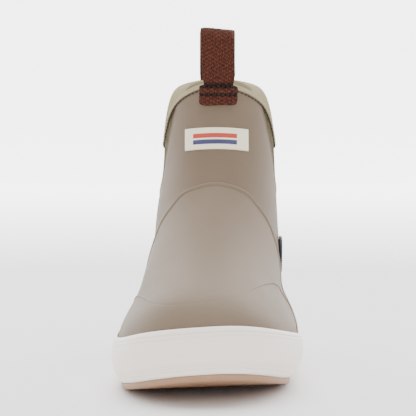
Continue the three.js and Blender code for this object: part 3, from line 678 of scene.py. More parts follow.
taupe_rubber = rubber("taupe moulded rubber", shade(109, 93, 76), shade(116, 100, 83),
                      shade(101, 85, 69), 0.62)
# The overlay rubber is the shell's rubber made lighter: a painted highlight for the light from
# above on the vamp.
lit_overlay_rubber = rubber("taupe overlay rubber", shade(117, 101, 84), shade(124, 108, 91),
                      shade(109, 93, 76), 0.62)
white_rubber = rubber("warm white foxing rubber", shade(255, 244, 234), shade(255, 248, 240),
                      shade(250, 236, 224), 0.5, 0.04)
navy_rubber = rubber("navy badge rubber", shade(22, 25, 42), shade(30, 34, 56),
                     shade(14, 16, 30), 0.4)
gum = moulded_sole("gum outsole rubber", shade(166, 128, 98), shade(180, 143, 112),
                   shade(140, 102, 76))
gore_cloth = ribbed("ribbed gore cloth", shade(124, 112, 86), shade(97, 86, 63), 1.5)
lining_cloth = knit("khaki lining knit", shade(170, 161, 132), shade(134, 125, 100), 1.5, 1.3)
bootie_cloth = knit("neoprene jersey face", shade(110, 101, 90), shade(82, 75, 66), 1.1, 0.9)
cover_cloth = knit("footbed cover knit", shade(150, 141, 122), shade(112, 104, 90), 1.8, 1.6)
binding_tape = twill("collar binding tape", shade(184, 172, 138), shade(154, 142, 110), 0.8)
webbing = plaited("brown plaited webbing", shade(109, 56, 38), shade(62, 26, 15), shade(12, 4, 3))
dark_thread = cord_thread("dark brown thread", shade(26, 11, 7), shade(12, 5, 3))
tape_thread = cord_thread("khaki brown thread", shade(62, 52, 38), shade(36, 29, 21))
label_cloth = woven_label("woven label satin", shade(250, 243, 214), shade(190, 28, 24),
                          shade(14, 26, 96))
white_foam = foam("white sole foam", shade(216, 212, 204), shade(190, 184, 174), 1.1)
grey_foam = foam("grey footbed foam", shade(84, 80, 77), shade(52, 49, 47), 0.9)
fibre_board = foam("fibre board", shade(186, 171, 143), shade(150, 135, 108), 0.5)


# ---------- the upper ----------
# The gores' edge: for each angle, the row where the shell ends. The search stays at its low end
# where the edge isn't crossed, and there the shell runs up to the collar.
GORE_LOW = 0.66
gore_angle = np.linspace(np.radians(32), np.radians(139), 160)
gore_row = edge_row(gore_angle, GORE_EDGE, GORE_LOW, 1.0)
gore_row = np.where(gore_row < GORE_LOW + 0.01, 1.0, gore_row)
crossing = gore_angle[gore_row < 0.998]
GORE_FRONT, GORE_REAR = crossing[0], crossing[-1]


def shell_top(angle):
    """Upper edge of the rubber shell: the collar, or the gore's edge inside the two gores."""
    return np.interp(np.abs(angle), gore_angle, gore_row, left=1.0, right=1.0)


def layer(name, offsets, finish, columns, rows, inner_rows):
    """A wall between two offsets of the last surface, from the sole to the collar."""
    angle = all_round(columns)
    outer = offset_point(angle, np.linspace(BOTTOM, 1, rows)[:, None], offsets[1])
    inner = offset_point(angle, np.linspace(1, BOTTOM, inner_rows)[:, None], offsets[0])
    piece(name, hoop(np.concatenate([outer, inner])), finish)


def rubber_shell():
    """The outer rubber: offset of the last to the collar, cut down to the gores' rolled edges."""
    gore = np.linspace(GORE_FRONT, GORE_REAR, 70)
    angle = np.unique(np.concatenate([np.linspace(-np.pi, np.pi, 181)[:-1], gore, -gore]))[None, :]
    top = shell_top(angle)
    share = (1 - (1 - np.linspace(0, 1, 110)) ** 1.5)[:, None]
    up = BOTTOM + (top - BOTTOM) * share
    to_top, _ = lengths_up(offset_point(angle, up, RUBBER[1]))
    in_gore = smooth((1.0 - top) / 0.012)
    lip = 0.35 * hump(to_top - 1.5, 1.0) - 0.12 * hump(to_top - 3.6, 0.7)
    outer = offset_point(angle, up, RUBBER[1] + in_gore * (lip - 0.6 * roll(to_top, 0.7) / 0.7))
    down = BOTTOM + (top - BOTTOM) * np.linspace(1, 0, 36)[:, None]
    inner = offset_point(angle, down, RUBBER[0])
    # Painted shade along the shell's edge, where it laps over the gore.
    crease_shade = 0.35 * in_gore * hump(to_top, 0.6)
    skin = hoop(np.concatenate([outer, inner]), np.concatenate([crease_shade, np.zeros(down.shape)]))
    piece("rubber_shell", skin, taupe_rubber)


def eased(values, width=17):
    """A line with its corners rounded: a running mean weighted by a raised cosine."""
    weights = np.hanning(width + 2)[1:-1]
    longer = np.pad(values, width // 2, mode="reflect", reflect_type="odd")
    return np.convolve(longer, weights / weights.sum(), "valid")


def arch(edge, reach, high, count, tilt=0.0, bow=0.0, turn=0.0):
    """A panel's edge as a line over the boot, from side to side: its angles and rows."""
    angle = np.linspace(-reach, reach, 900) + turn
    row = edge_row(angle, edge, VISIBLE_BOTTOM - 0.02, high, tilt, bow)
    row = np.maximum(row, VISIBLE_BOTTOM)
    inside = np.flatnonzero(row > VISIBLE_BOTTOM + 1e-5)
    keep = slice(max(inside[0] - 1, 0), inside[-1] + 2)
    angle, row = evenly(angle[keep], row[keep], count)
    return eased(angle), eased(row)


def panel(low_line, high_line, rows, near):
    """Angles and rows between two lines over the boot.

    The upper 3/10 of the grid's rows lie in the `near` millimetres under the upper line.
    """
    near_share = 0.3
    r = np.linspace(1, 0, rows)[:, None]
    run = np.linalg.norm(last_point(*high_line) - last_point(*low_line), axis=-1)
    close = np.minimum(near, run / 2)
    away = np.where(r <= near_share, close * r / near_share,
                    close + (run - close) * (r - near_share) / (1 - near_share))
    share = 1 - away / run
    return tuple(low + (high - low) * share for low, high in zip(low_line, high_line))


COLUMNS_OVER = 220
cap_line = arch(CAP_EDGE, 1.95, 0.62, COLUMNS_OVER, CAP_TILT)
vamp_line = arch(VAMP_EDGE, 1.95, 0.93, COLUMNS_OVER, bow=6.0)
heel_line = arch(HEEL_EDGE, 1.0, 0.62, 120, turn=np.pi)

# Along a panel's edge: the ridge's height and place, the groove's depth and place, the drop of the
# outermost edge and its radius, and how much painted shade darkens the groove and the edge.
VAMP_BEAD = (0.5, 1.6, 0.32, 3.3, 1.15, 0.9, 0.22, 0.15)
HEEL_BEAD = (0.35, 1.4, 0.2, 3.0, 1.1, 0.9, 0.2, 0.0)
CAP_BEAD = (0.0, 1.0, 0.0, 1.0, 0.08, 0.4, 0.0, 0.0)


def edge_bead(distance, ridge, ridge_at, groove, groove_at, drop, radius, dark, edge_shade):
    """A bead by the distance from the edge: a ridge less a groove less a quarter round, and painted
    shade in the groove and at the edge.
    """
    height = (ridge * hump(distance - ridge_at, 0.8) - groove * hump(distance - groove_at, 0.6)
              - drop * roll(distance, radius) / radius)
    return height, dark * hump(distance - groove_at, 0.7) + edge_shade * hump(distance, 0.4)


def cap_ridge(distance, along):
    """The lap over the toe cap: a low ridge that fades out over the toe's middle."""
    fade = smooth((np.abs(along + 0.02) - 0.16) / 0.25)
    return fade * 0.45 * hump(distance - 0.9, 1.1) - 0.12 * roll(distance, 0.5) / 0.5


def edge_slant(angle, row):
    """How squarely the grid's columns meet its top row: the sine of the angle between them."""
    point = last_point(angle, row)
    along = unit(np.gradient(point[-1], axis=0))
    up = unit(point[-1] - point[-3])
    return np.clip(np.linalg.norm(np.cross(along, up), axis=-1), 0.25, 1)


def overlay_panel(name, low_line, high_line, rows, bead, lapped=False):
    """A raised rubber panel with a bead along its upper edge; lapped, it ends over the toe cap."""
    angle, row = panel(low_line, high_line, rows, 6.0)
    to_top, whole = lengths_up(offset_point(angle, row, OVERLAY[1]))
    height, crease_shade = edge_bead(to_top * edge_slant(angle, row), *bead)
    if lapped:
        height = height + cap_ridge(whole - to_top, np.linspace(-1, 1, row.shape[1]))
    thin = OVERLAY[1] - 0.1 - (RUBBER[1] + 0.08)
    outer = offset_point(angle, row, OVERLAY[1] - 0.1 + np.maximum(height, -thin))
    inner = offset_point(angle, row, RUBBER[1] + 0.06)
    piece(name, pillow(outer, inner, crease_shade), lit_overlay_rubber)


def under_foxing(line):
    """The lower boundary of a panel that runs down behind the foxing."""
    return line[0], np.full(line[1].shape, BOTTOM + 0.02)


def reinforcement(name, line):
    """A thin stiffener inside the bootie, under a panel."""
    place = panel(under_foxing(line), line, 40, 4.0)
    inner, outer = (offset_point(*place, out) for out in REINFORCEMENT)
    piece(name, pillow(outer, inner), fibre_board)


def gore_panel(name, side):
    """A U of elastic cloth under the shell's lip, puffed between its seams and puckered by them."""
    angle = side * np.linspace(GORE_FRONT - 0.07, GORE_REAR + 0.07, 110)[None, ::side]
    low = np.minimum(shell_top(angle) - 0.028, 0.975)
    row = low + (1 - low) * np.linspace(0, 1, 90)[:, None]
    margin = (row - shell_top(angle)) * 150
    puff = 0.7 * smooth(margin / 9)
    pleats = np.cos(2 * np.pi * np.abs(angle) * 34 / 4.2)
    pucker = 0.16 * pleats * smooth(margin / 2) * hump(margin - 3, 4)
    outer = offset_point(angle, row, GORE[1] + puff + pucker)
    inner = offset_point(angle, row, GORE[0])
    piece(name, pillow(outer, inner, 0.5 * hump(margin, 1.4)), gore_cloth)


def collar_point(angle, out, up):
    """A point of a section carried around the collar's edge: outwards and upwards from the edge."""
    point, _, rising, outwards = last_frame(angle, 1.0)
    return point + outwards * np.asarray(out)[..., None] + rising * np.asarray(up)[..., None]


def collar_binding():
    """Folded tape over the collar: a section of two legs and a domed top, softly puckered."""
    angle = all_round(400)
    section = spline([(2.05, -1.8), (2.4, -2.0), (2.75, -1.75), (2.8, -1.0), (2.75, 0.1),
                      (2.3, 0.85), (1.2, 1.28), (-1.6, 1.38), (-4.6, 1.28), (-5.6, 0.85),
                      (-6.0, 0.1), (-6.1, -1.4), (-6.05, -2.8), (-5.7, -3.1), (-5.35, -2.9),
                      (-5.32, -1.0), (-5.1, 0.3), (-4.2, 0.62), (-1.6, 0.68), (0.8, 0.62),
                      (1.8, 0.3), (2.02, -0.9)], 3)
    out, up = section[:, :1], section[:, 1:]
    pucker = 0.12 * np.cos(angle * 92) * smooth((-up - 0.2) / 1.6) * np.sign(out)
    skin = hoop(collar_point(angle, out + pucker, up), 0.25 * smooth(-up - 2.0))
    piece("collar_binding", skin, binding_tape)


def stitches(name, centre, along, outwards, size, finish):
    """Short arched stitches: one capsule of 8 x 6 faces, copied to each place.

    A capsule is a circle of shrinking radius sqrt(1 - t⁴) carried along t, its ends bent inwards.
    """
    t = np.linspace(-1, 1, 8)[:, None]
    turn = np.linspace(0, 2 * np.pi, 7)[None, :-1]
    radius = np.sqrt(np.maximum(1 - t**4, 0)) * size[1] / 2
    across = unit(np.cross(outwards, along))
    lift = radius * np.sin(turn) - 0.45 * size[1] * t**2
    sides = radius * np.cos(turn)
    ends = t * size[0] / 2 + 0 * turn
    basis = np.stack([along, across, outwards], 1)
    local = np.stack([ends, sides, lift], -1)
    points = centre[:, None, None, :] + np.einsum("rck,nkj->nrcj", local, basis)
    skin = Skin()
    numbers = skin.grid(points)
    chart = np.stack([sides, ends], -1)
    chart = np.concatenate([chart, chart[:, :1]], 1)
    for one in numbers:
        one[0], one[-1] = one[0, 0], one[-1, 0]
        skin.cover(closed(one, 1)[:, ::-1], chart)
    piece(name, skin, finish)


def collar_stitches():
    """A row of stitches round the collar, just under the tape."""
    angle = np.linspace(-np.pi, np.pi, 2000)
    length = lengths_along(collar_point(angle, 2.0, -2.9))
    count = int(length[-1] / COLLAR_STITCH)
    where = np.interp((np.arange(count) + 0.5) / count * length[-1], length, angle)
    _, around, _, outwards = last_frame(where, 1.0)
    centre = collar_point(where, 2.05, -2.9)
    stitches("collar_thread", centre, around, outwards, (2.7, 0.8), tape_thread)


# ---------- the sole ----------
def foxing_band():
    """The rubber band round the sole: a rounded section with fine grooves near both edges."""
    angle = all_round(480)
    face = spline([(2.3, 3.7), (3.5, 4.6), (4.5, 6.8), (5.3, 10.5), (5.68, 14.3), (5.72, 19.5),
                   (5.66, 24.0), (5.3, 27.0), (4.85, 28.6), (4.3, 29.6), (3.7, 30.1),
                   (3.3, 29.6)], 7)
    grooves = sum(depth * hump(face[:, 1] - place, 0.3) for depth, place in
                  [(0.42, 27.2), (0.3, 25.2), (0.34, 9.6), (0.3, 8.1), (0.36, 6.5)])
    out, height = (face[:, 0] - grooves)[:, None], face[:, 1:] + 0 * angle
    wander = 0.16 * np.sin(angle * 3 + 1) + 0.1 * np.sin(angle * 7)
    lifted = height + wander * smooth((height - 6) / 8)
    level = sole_point(angle, out, lifted)
    square = offset_point(angle, row_of(np.maximum(lifted, SOLE_EDGE)), out)
    outer = level + (square - level) * smooth((height - 9) / 8)[..., None]
    back = [offset_point(angle[0], row_of(height), 3.3) for height in (28.5, 22.0, 13.0)]
    foot = [sole_point(angle[0], 0.8, 9.0), sole_point(angle[0], 0.5, 3.7)]
    # Painted shade in the fine grooves.
    mark = np.concatenate([0.7 * grooves, np.zeros(len(back + foot))])[:, None]
    skin = hoop(np.concatenate([outer, np.stack(back + foot)]), mark)
    piece("foxing_band", skin, white_rubber)


def sole_angles(half):
    """Angles from toe to heel whose places along the boot follow half a cosine wave."""
    y = (1 - np.cos(np.linspace(0, np.pi, half + 1))) / 2
    wide, toe, heel = RINGS[0, 4], RINGS[0, 3], RINGS[0, 5]
    y = toe + (heel - toe) * y
    cosine = (wide - y) / np.where(y < wide, wide - toe, heel - wide)
    return np.arccos(np.clip(cosine, -1, 1))


def chevrons(between, share, a, b):
    """Chevron grooves that point to the toe: their depth, painted shade in them, and the sipes'
    chart.
    """
    x, y = between[..., 0], between[..., 1]
    width = np.abs(b - a)[..., 0]
    half = np.maximum(width / 2 - 8, 1e-3)
    off = np.abs(x - (a + b)[..., 0] / 2) / half
    point = np.minimum(9, half * 2 / 5)
    along = y + point * (1 - np.minimum(off, 1)) - 17
    inside = smooth((1 - off) * half / 0.8) * smooth((y - 14) / 2) * smooth((LENGTH - 15 - y) / 2)
    phase = along % TREAD_PITCH
    groove = smooth((phase + 0.4) / 0.8) * (1 - smooth((phase - 1.8) / 0.8))
    groove = groove + smooth((phase - TREAD_PITCH + 0.4) / 0.8)
    depth = 1.4 * np.clip(groove, 0, 1) * inside
    chart = np.stack([inside, along + 0 * x], -1)
    return depth, 0.8 * depth / 1.4, chart


def heel_cup(between, share, a, b):
    """The footbed's top: its margin turns up a little towards the outline."""
    x, y = between[..., 0], between[..., 1]
    edge = np.minimum(share, 1 - share) * np.abs(b - a)[..., 0]
    lift = 0.9 * (1 - smooth(edge / 12)) * smooth((y / LENGTH - 0.45) / 0.3)
    return lift, 0.0, np.stack([x, y], -1)


def plain_top(between, share, a, b):
    """A flat face, charted by its place on the sole."""
    return 0.0, 0.0, between[..., :2]


def sole_piece(name, outline, finish, half=130, across=20, dome=plain_top, tread=plain_top):
    """A solid that follows the sole: outlines of (out, height), closed below and above.

    Each row of a closing face joins the two outline points at one distance from the toe. Its
    lift, painted shade and chart come from tread below and from dome above.
    """
    angle = sole_angles(half)
    ringed = np.concatenate([-angle[::-1], angle[1:-1]])
    walls = np.stack([sole_point(ringed, out, height) for out, height in outline])
    skin = Skin()
    numbers = skin.grid(walls)
    skin.cover(closed(numbers, 1))
    left = half - np.arange(half + 1)
    right = (half + np.arange(half + 1)) % len(ringed)
    share = np.linspace(0, 1, across + 1)[None, 1:-1]
    for level, shape, order in ((0, tread, -1), (-1, dome, 1)):
        a, b = walls[level][left][:, None], walls[level][right][:, None]
        between = a + (b - a) * share[..., None]
        base = outline[level][1] + sole_rise(between[..., 0], between[..., 1])
        lift, mark, chart = shape(between, share, a, b)
        inner = skin.grid(np.stack([between[..., 0], between[..., 1], base + lift], -1), mark)
        rim = numbers[level]
        sheet = np.concatenate([rim[left][:, None], inner, rim[right][:, None]], 1)
        sheet[0], sheet[-1] = sheet[0, 0], sheet[-1, -1]
        chart = np.concatenate([chart[:, :1], chart, chart[:, -1:]], 1)
        skin.cover(sheet[:, ::order], chart[:, ::order])
    return piece(name, skin, finish)


# ---------- webbing, label and badge ----------
def front_place(x, z, turn=0.0):
    """Angle and row of the surface at a sideways place and a height, in front or behind.

    Both start in the middle and are moved 40 times by a share of what is still missing.
    """
    angle, row = np.full(x.shape, turn), np.full(x.shape, 0.9)
    facing = 1.0 if turn == 0 else -1.0
    for _ in range(40):
        point = last_point(angle, row)
        angle = angle + 0.7 * facing * (x - point[..., 0]) / (SHAFT * 1.05)
        row = row + 0.6 * (z - point[..., 2]) / 300
    return angle, row


def crevice_shade(relief):
    """Painted shade between the yarns: it grows as the relief falls away."""
    return np.clip(1.25 * (1 - relief) - 0.05, 0, 1)


def plait(across, along, width):
    """Relief of plaited webbing, 0 to 1: columns of slanted yarn bumps that lean to and fro."""
    half = width / 20
    column = np.floor(across / half)
    inside = across / half - column
    lean = np.where(column % 2 == 0, 1.0, -1.0)
    turn = along / 2.3 + 0.42 * lean * (inside - 0.5) + 0.5 * np.floor(column / 2)
    yarn = np.abs(np.cos(np.pi * turn)) ** 0.8
    return (0.45 + 0.55 * np.sin(np.pi * inside) ** 0.7) * (0.3 + 0.7 * yarn)


def webbing_patch(name, x, z, offsets, turn, edge_roll=1.0, dents=()):
    """A flat end of webbing sewn to the collar, its face plaited and its edges rounded.

    x and z are grids of places; dents are (height, depth) of the rows that stitches pull in.
    The plaited face looks outwards, or inwards on a patch inside the boot.
    """
    angle, row = front_place(x, z, turn)
    width, height = np.ptp(x[0]), z.max() - z.min()
    across, along = x - x.min(), z - z.min()
    relief = plait(across, along, width)
    edge = np.minimum(np.minimum(across, width - across), np.minimum(along, height - along))
    dent = sum(depth * hump(z - place, 0.8) for place, depth in dents)
    # Painted shade between the yarns and in the dents that the stitches pull in.
    mark = crevice_shade(relief) + np.clip(2 * dent, 0, 1)
    near, far = offsets
    body = 0.65 * (far - near) + 0.6 * relief - 0.8 * roll(edge, edge_roll) - dent
    inwards = far < 0
    plaited_out, plain_out = (far - body, far) if inwards else (near + body, near)
    front, back = offset_point(angle, row, plaited_out), offset_point(angle, row, plain_out)
    if inwards != (turn > 0):
        front, back, mark = front[:, ::-1], back[:, ::-1], mark[:, ::-1]
    piece(name, pillow(front, back, mark), webbing, sharp=80)


def strap_loop(name, turn, collar, width, centre, slope):
    """A pull loop: webbing carried along a teardrop path, its two ends sewn to the collar.

    The path is a spline in the side view. Each section is a thin rounded slab with plaited faces.
    """
    facing = -1.0 if turn == 0 else 1.0
    edge = last_point(turn, 1.0)
    outer_y, inner_y = edge[1] + facing * LOOP_OUT, edge[1] - facing * LOOP_IN
    middle, spread = (outer_y + inner_y) / 2, abs(outer_y - inner_y) / 2
    crown = collar + LOOP_RISE - spread - WEBBING_HALF
    low = collar - 0.9
    legs = [(outer_y, low), (outer_y, low + 2.5), (outer_y + facing * 0.3, low + 9),
            (outer_y, crown - 7)]
    bend = np.linspace(0, np.pi, 7)
    top = [(middle + facing * spread * np.cos(a), crown + spread * np.sin(a)) for a in bend]
    back = [(inner_y, crown - 7), (inner_y - facing * 0.2, low + 10),
            (inner_y - facing * 0.3, low + 4), (inner_y - facing * 0.3, low - 1.2)]
    path = spline(legs + top + back, 12)
    length = lengths_along(path)
    s = np.arange(0, length[-1], 0.32)
    y, z = (np.interp(s, length, path[:, k]) for k in (0, 1))
    tangent = unit(np.stack([np.gradient(y), np.gradient(z)], -1))
    normal = np.stack([facing * tangent[:, 1], -facing * tangent[:, 0]], -1)
    u = np.linspace(-1, 1, 78)[None, :]
    rise = ((z - low) / (collar + LOOP_RISE - low))[:, None]
    half = width(rise) / 2
    x = centre(rise) + u * half
    relief = plait((u + 1) * half, s[:, None] + 0 * u, 2 * half)
    ends = np.minimum(s, length[-1] - s)[:, None]
    thick = 1.1 * np.clip(1 - np.abs(u) ** 7, 0.12, 1) * (1 - 0.45 * roll(ends, 1.5) / 1.5) / 2
    drop = slope * (x - centre(rise)) * smooth(rise * 1.2)
    out = thick + 0.62 * relief
    cup = 0.5 * u**2 * smooth(rise * 3)
    shapes = []
    for side in (1, -1):
        shift = side * out - cup
        shapes.append(np.stack([x, y[:, None] + normal[:, :1] * shift,
                                z[:, None] - drop + normal[:, 1:] * shift], -1))
    outer, inner = shapes
    if turn:
        outer, inner, relief = outer[:, ::-1], inner[:, ::-1], relief[:, ::-1]
    # Painted shade between the yarns, and a band of painted shadow where the loop meets the tab.
    mark = crevice_shade(relief) + 0.5 * hump(z - low - 0.8, 1.1)[:, None]
    made = piece(name, pillow(outer, inner, mark, mark), webbing, body=None, sharp=80)
    hinge = np.array([0, outer_y, collar - 0.2]) + PLACE
    start, end = hinge * 0.001, (hinge + [0, 0, 9]) * 0.001
    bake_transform(made)


def box_stitching(name, left, right, low, high, turn):
    """A rectangle of stitches through a sewn tab."""
    corners = np.array([[left, low], [right, low], [right, high], [left, high], [left, low]], float)
    runs = []
    for start, end in zip(corners[:-1], corners[1:]):
        length = np.linalg.norm(end - start)
        count = max(int(length / TAB_STITCH), 2)
        share = ((np.arange(count) + 0.5) / count)[:, None]
        heading = np.tile((end - start) / length, (count, 1))
        runs.append(np.concatenate([start + (end - start) * share, heading], 1))
    runs = np.concatenate(runs)
    angle, row = front_place(runs[:, 0], runs[:, 1], turn)
    ahead_angle, ahead_row = front_place(runs[:, 0] + runs[:, 2], runs[:, 1] + runs[:, 3], turn)
    height = TAB[0] + 1.62        # sunk a little into the tab's face
    centre = offset_point(angle, row, height)
    along = unit(offset_point(ahead_angle, ahead_row, height) - centre)
    stitches(name, centre, along, last_frame(angle, row)[3], (1.9, 0.75), dark_thread)


def front_label():
    """A woven label laid on the shin: a thin sheet with turned edges, its ends drooping."""
    centre = centre_line(RINGS[LAST_RING, 3] * LENGTH)
    u = np.linspace(-1, 1, 120)[None, :]
    t = np.linspace(0, 1, 44)[:, None]
    x = centre + LABEL_HALF * u + 0 * t
    z = LABEL_LOW + LABEL_HEIGHT * t - LABEL_DROOP * u**2
    angle, row = front_place(x, z)
    edge = np.minimum((1 - np.abs(u)) * LABEL_HALF, np.minimum(t, 1 - t) * LABEL_HEIGHT)
    out = 2.35 + 0.18 * hump(edge - 1.0, 0.5) - 0.5 * roll(edge, 0.5) + 0.05 * np.sin(7 * u + 3 * t)
    skin = pillow(offset_point(angle, row, out), offset_point(angle, row, LABEL_BACK))
    piece("front_label", skin, label_cloth)


def badge():
    """A round rubber badge: a rope-twisted rim round a sunk face with three plain waves.

    Both are turned about a line square to the shell, through the middle of the CAD's badge.
    """
    lowest, highest = (np.array(corner) * 1000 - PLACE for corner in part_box("badge_rim"))
    angle, row = np.array(np.pi / 2), np.array(0.5)
    target = (lowest + highest) / 2
    for _ in range(60):
        point = last_point(angle, row)
        angle = angle + (target[1] - point[1]) / LENGTH
        row = row + (target[2] - point[2]) / COLLAR_FRONT
    centre, _, _, out = last_frame(angle, row)
    along = unit(np.cross([0, 0, 1.0], out))
    rising = np.cross(out, along)
    turn = np.linspace(0, 2 * np.pi, 193)[None, :-1]

    def carried(radius, height):
        x, z, away = radius * np.cos(turn), radius * np.sin(turn), height + 0 * turn
        return centre + x[..., None] * along + z[..., None] * rising + away[..., None] * out

    section = spline([(9.6, BADGE_BACK), (9.6, 2.9), (9.9, 3.35), (10.6, 3.5), (11.4, 3.35),
                      (11.9, 2.9), (12.0, 2.2), (11.9, BADGE_BACK)], 4)
    radius, height = section[:, :1], section[:, 1:]
    rope = 0.13 * np.cos(48 * turn + 1.5 * (radius - 10.8)) * smooth((height - 2.8) / 0.5)
    # Painted shade in the hollows of the rope twist.
    dark = 0.5 * smooth((0.05 - rope) / 0.15) * (height > 2.9)
    skin = hoop(carried(radius, height + rope)[:, ::-1], dark)
    piece("badge_rim", skin, navy_rubber)

    reach = np.concatenate([[0], np.linspace(0.15, 9.1, 40), [9.3, 9.3]])[:, None]
    x, z = reach * np.cos(turn), reach * np.sin(turn)
    wave = sum(hump(z - place - 0.8 * np.sin(x * 0.95), 0.42) for place in (-3.4, 0.0, 3.4))
    wave, inside = np.clip(wave, 0, 1), smooth((7.9 - reach) / 0.8)
    face = 2.95 + 0.28 * wave * inside
    face[-1] = BADGE_BACK
    points = np.concatenate([carried(reach, face), carried(np.zeros((1, 1)), BADGE_BACK)])
    skin = Skin()
    # Painted shade on the sunk face between the raised waves.
    numbers = skin.grid(points, np.concatenate([0.25 * (1 - wave) * inside, 0 * turn]))
    numbers[0], numbers[-1] = numbers[0, 0], numbers[-1, 0]
    skin.cover(closed(numbers, 1)[:, ::-1])
    piece("badge_inlay", skin, navy_rubber)


# ---------- the boot ----------
bootie_low, bootie_high = (np.array(corner) * 1000 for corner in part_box("neoprene_bootie"))
reference = offset_point(all_round(36), np.linspace(BOTTOM, 1, 11)[:, None], 0.0).reshape(-1, 3)
PLACE = (bootie_low + bootie_high) / 2 - (reference.min(0) + reference.max(0)) / 2
PLACE[2] = 0.0

layer("lining", LINING, lining_cloth, 200, 110, 30)
layer("neoprene_bootie", BOOTIE, bootie_cloth, 140, 60, 24)
rubber_shell()
overlay_panel("vamp_overlay", cap_line, vamp_line, 100, VAMP_BEAD, lapped=True)
overlay_panel("toe_cap", under_foxing(cap_line), cap_line, 60, CAP_BEAD)
overlay_panel("heel_overlay", under_foxing(heel_line), heel_line, 60, HEEL_BEAD)
reinforcement("toe_reinforcement", cap_line)
reinforcement("heel_reinforcement", heel_line)
gore_panel("lateral_gore", 1)
gore_panel("medial_gore", -1)
collar_binding()
collar_stitches()

sole_piece("outsole", [(0.8, 0), (1.5, 0.3), (2.0, 0.9), (2.25, 1.7), (2.3, 3.4)], gum,
           560, 44, tread=chevrons)
sole_piece("midsole", [(-0.9, SOLE_EDGE), (-0.5, 7.5), (-0.3, MIDSOLE_TOP)], white_foam)
sole_piece("lasting_board", [(INSIDE, BOARD_BASE), (INSIDE, 14.0)], fibre_board)
footbed = sole_piece("footbed", [(INSIDE, FOOTBED_BASE), (INSIDE, 16.5), (INSIDE, 18.8)],
                     grey_foam, dome=heel_cup)
sole_piece("footbed_cover", [(INSIDE, COVER_BASE + 0.1), (INSIDE, COVER_TOP)], cover_cloth,
           200, 60, dome=heel_cup, tread=heel_cup)
foxing_band()

u, t = np.meshgrid(np.linspace(-1, 1, 84), np.linspace(0, 1, 44))
front_centre, rear_centre = (float(last_point(angle, 1.0)[0]) for angle in (0.0, np.pi))
tab_x = front_centre + 0.9 + u * (10.3 - 1.0 * np.abs(2 * t - 1) ** 8) + 0.3 * t
tab_z = 164.0 + t * 12.9 + (1 - t) * (0.8 * np.abs(u) ** 8 + 0.25 * np.sin(3.2 * u + 0.6))
webbing_patch("front_loop_tab", tab_x, tab_z, TAB, 0.0, 1.3, [(175.8, 0.45), (170.6, 0.4)])
webbing_patch("rear_loop_tab", rear_centre + u * 10.6, 163.0 + t * 12.5, TAB, np.pi, 1.3,
              [(173.9, 0.3), (165.6, 0.3)])
webbing_patch("front_loop_inner_tab", front_centre + 0.5 + u * 11.2, 164.5 + t * 13.6,
              INNER_TAB, 0.0)
webbing_patch("rear_loop_inner_tab", rear_centre + u * 11.2, 163.2 + t * 13.6,
              INNER_TAB, np.pi)
box_stitching("front_loop_stitching", front_centre - 7.3, front_centre + 9.3, 170.6, 175.7, 0.0)
box_stitching("rear_loop_stitching", rear_centre - 9.0, rear_centre + 9.0, 165.6, 173.9, np.pi)
strap_loop("front_loop", 0.0, COLLAR_FRONT, lambda rise: 18.4 + 2.2 * smooth(rise * 5),
           lambda rise: front_centre + 1.2 + 0.2 * np.sin(np.pi * rise) - 1.1 * smooth(rise),
           0.115)
strap_loop("rear_loop", np.pi, COLLAR_BACK, lambda rise: 22.6 + 0.8 * smooth(rise * 5),
           lambda rise: rear_centre + 0 * rise, 0.0)
front_label()
badge()


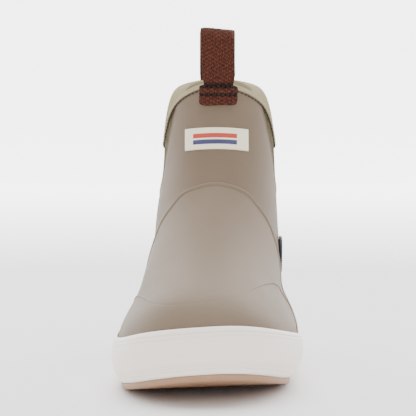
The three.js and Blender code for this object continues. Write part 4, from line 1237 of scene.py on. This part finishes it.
# ---------- studio ----------
def floor():
    """A pale floor that curves up into a backdrop: a quarter circle between two flat runs."""
    bend = np.linspace(0, np.pi / 2, 24)
    y = np.concatenate([[-2.5], 1.6 + 0.9 * np.sin(bend), [2.5]])
    z = np.concatenate([[0], 0.9 * (1 - np.cos(bend)), [3.2]])
    x = np.array([-3.5, 3.5])
    points = np.stack(np.broadcast_arrays(x, y[:, None], z[:, None]), -1).reshape(-1, 3)
    numbers = np.arange(len(points)).reshape(-1, 2)
    mesh = bpy.data.meshes.new("studio floor")
    mesh.from_pydata(points.tolist(), [], cells(numbers).tolist())
    mesh.update()
    paper = Finish("studio paper", 0.9)
    tones = shade(252, 252, 252), shade(248, 248, 248)
    paper.set("Base Color", paper.blend(paper.noise(400, 2), *tones))
    # Beyond 0.6 m from the origin the paper glows: emission that whitens the far floor and backdrop
    # and also lights the boot.
    away = paper.add("ShaderNodeVectorMath", {"operation": "LENGTH"}, {0: paper.place()}, 1)
    glow = ((away - 0.6) * 1.2).kept()
    paper.set("Emission Color", paper.blend(glow, (0, 0, 0, 1), (1, 1, 1, 1)))
    paper.shader.inputs["Emission Strength"].default_value = 3.0
    mesh.materials.append(paper.material)
    made = placed("studio_floor", mesh)


def lamp(name, place, aim, size, power):
    """A soft rectangular light of size (width, height), turned from its place towards its aim."""
    data = bpy.data.lights.new(name, "AREA")
    data.shape, data.size, data.size_y, data.energy = "RECTANGLE", *size, power
    made = placed(name, data)
    made.location = place
    made.rotation_euler = (Vector(aim) - Vector(place)).to_track_quat("-Z", "Y").to_euler()


FRAME_WIDTH = 416             # the frame is square; the lens and the shifts are shares of it


def camera():
    """Stands in front of the toe, a degree to the outer side and five above the floor."""
    data = bpy.data.cameras.new("camera")
    made = placed("camera", data)
    turn, lift = np.radians(1.0), np.radians(5.0)
    back = Vector((np.sin(turn) * np.cos(lift), -np.cos(turn) * np.cos(lift), np.sin(lift)))
    aim, away = Vector((-0.0005, 0.0055, 0.0927)), 1.5
    made.location = aim + back * away
    made.rotation_mode = "QUATERNION"
    made.rotation_quaternion = (-back).to_track_quat("-Z", "Y")
    data.sensor_width = 36
    data.lens = data.sensor_width * 2420 / FRAME_WIDTH
    data.shift_x, data.shift_y = -1 / FRAME_WIDTH, 14 / FRAME_WIDTH
    data.clip_start, data.clip_end = 0.1, 20
    bpy.context.scene.camera = made


floor()
camera()
for name, place, aim, size, power in (
        ("overhead softbox", (0, 0.05, 1.5), (0, 0, 0.08), (1.6, 1.6), 30),
        ("front fill", (0.1, -2.2, 0.9), (0, 0, 0.1), (1.8, 1.2), 16),
        ("left strip", (-1.3, 0.2, 0.9), (0, 0, 0.07), (0.7, 1.3), 5),
        ("right strip", (1.3, 0.2, 0.9), (0, 0, 0.07), (0.7, 1.3), 4)):
    lamp(name, place, aim, size, power)
world = bpy.data.worlds.new("studio air")
world.use_nodes = True
air = world.node_tree.nodes["Background"].inputs
air["Color"].default_value, air["Strength"].default_value = (1, 1, 1, 1), 0.8
bpy.context.scene.world = world
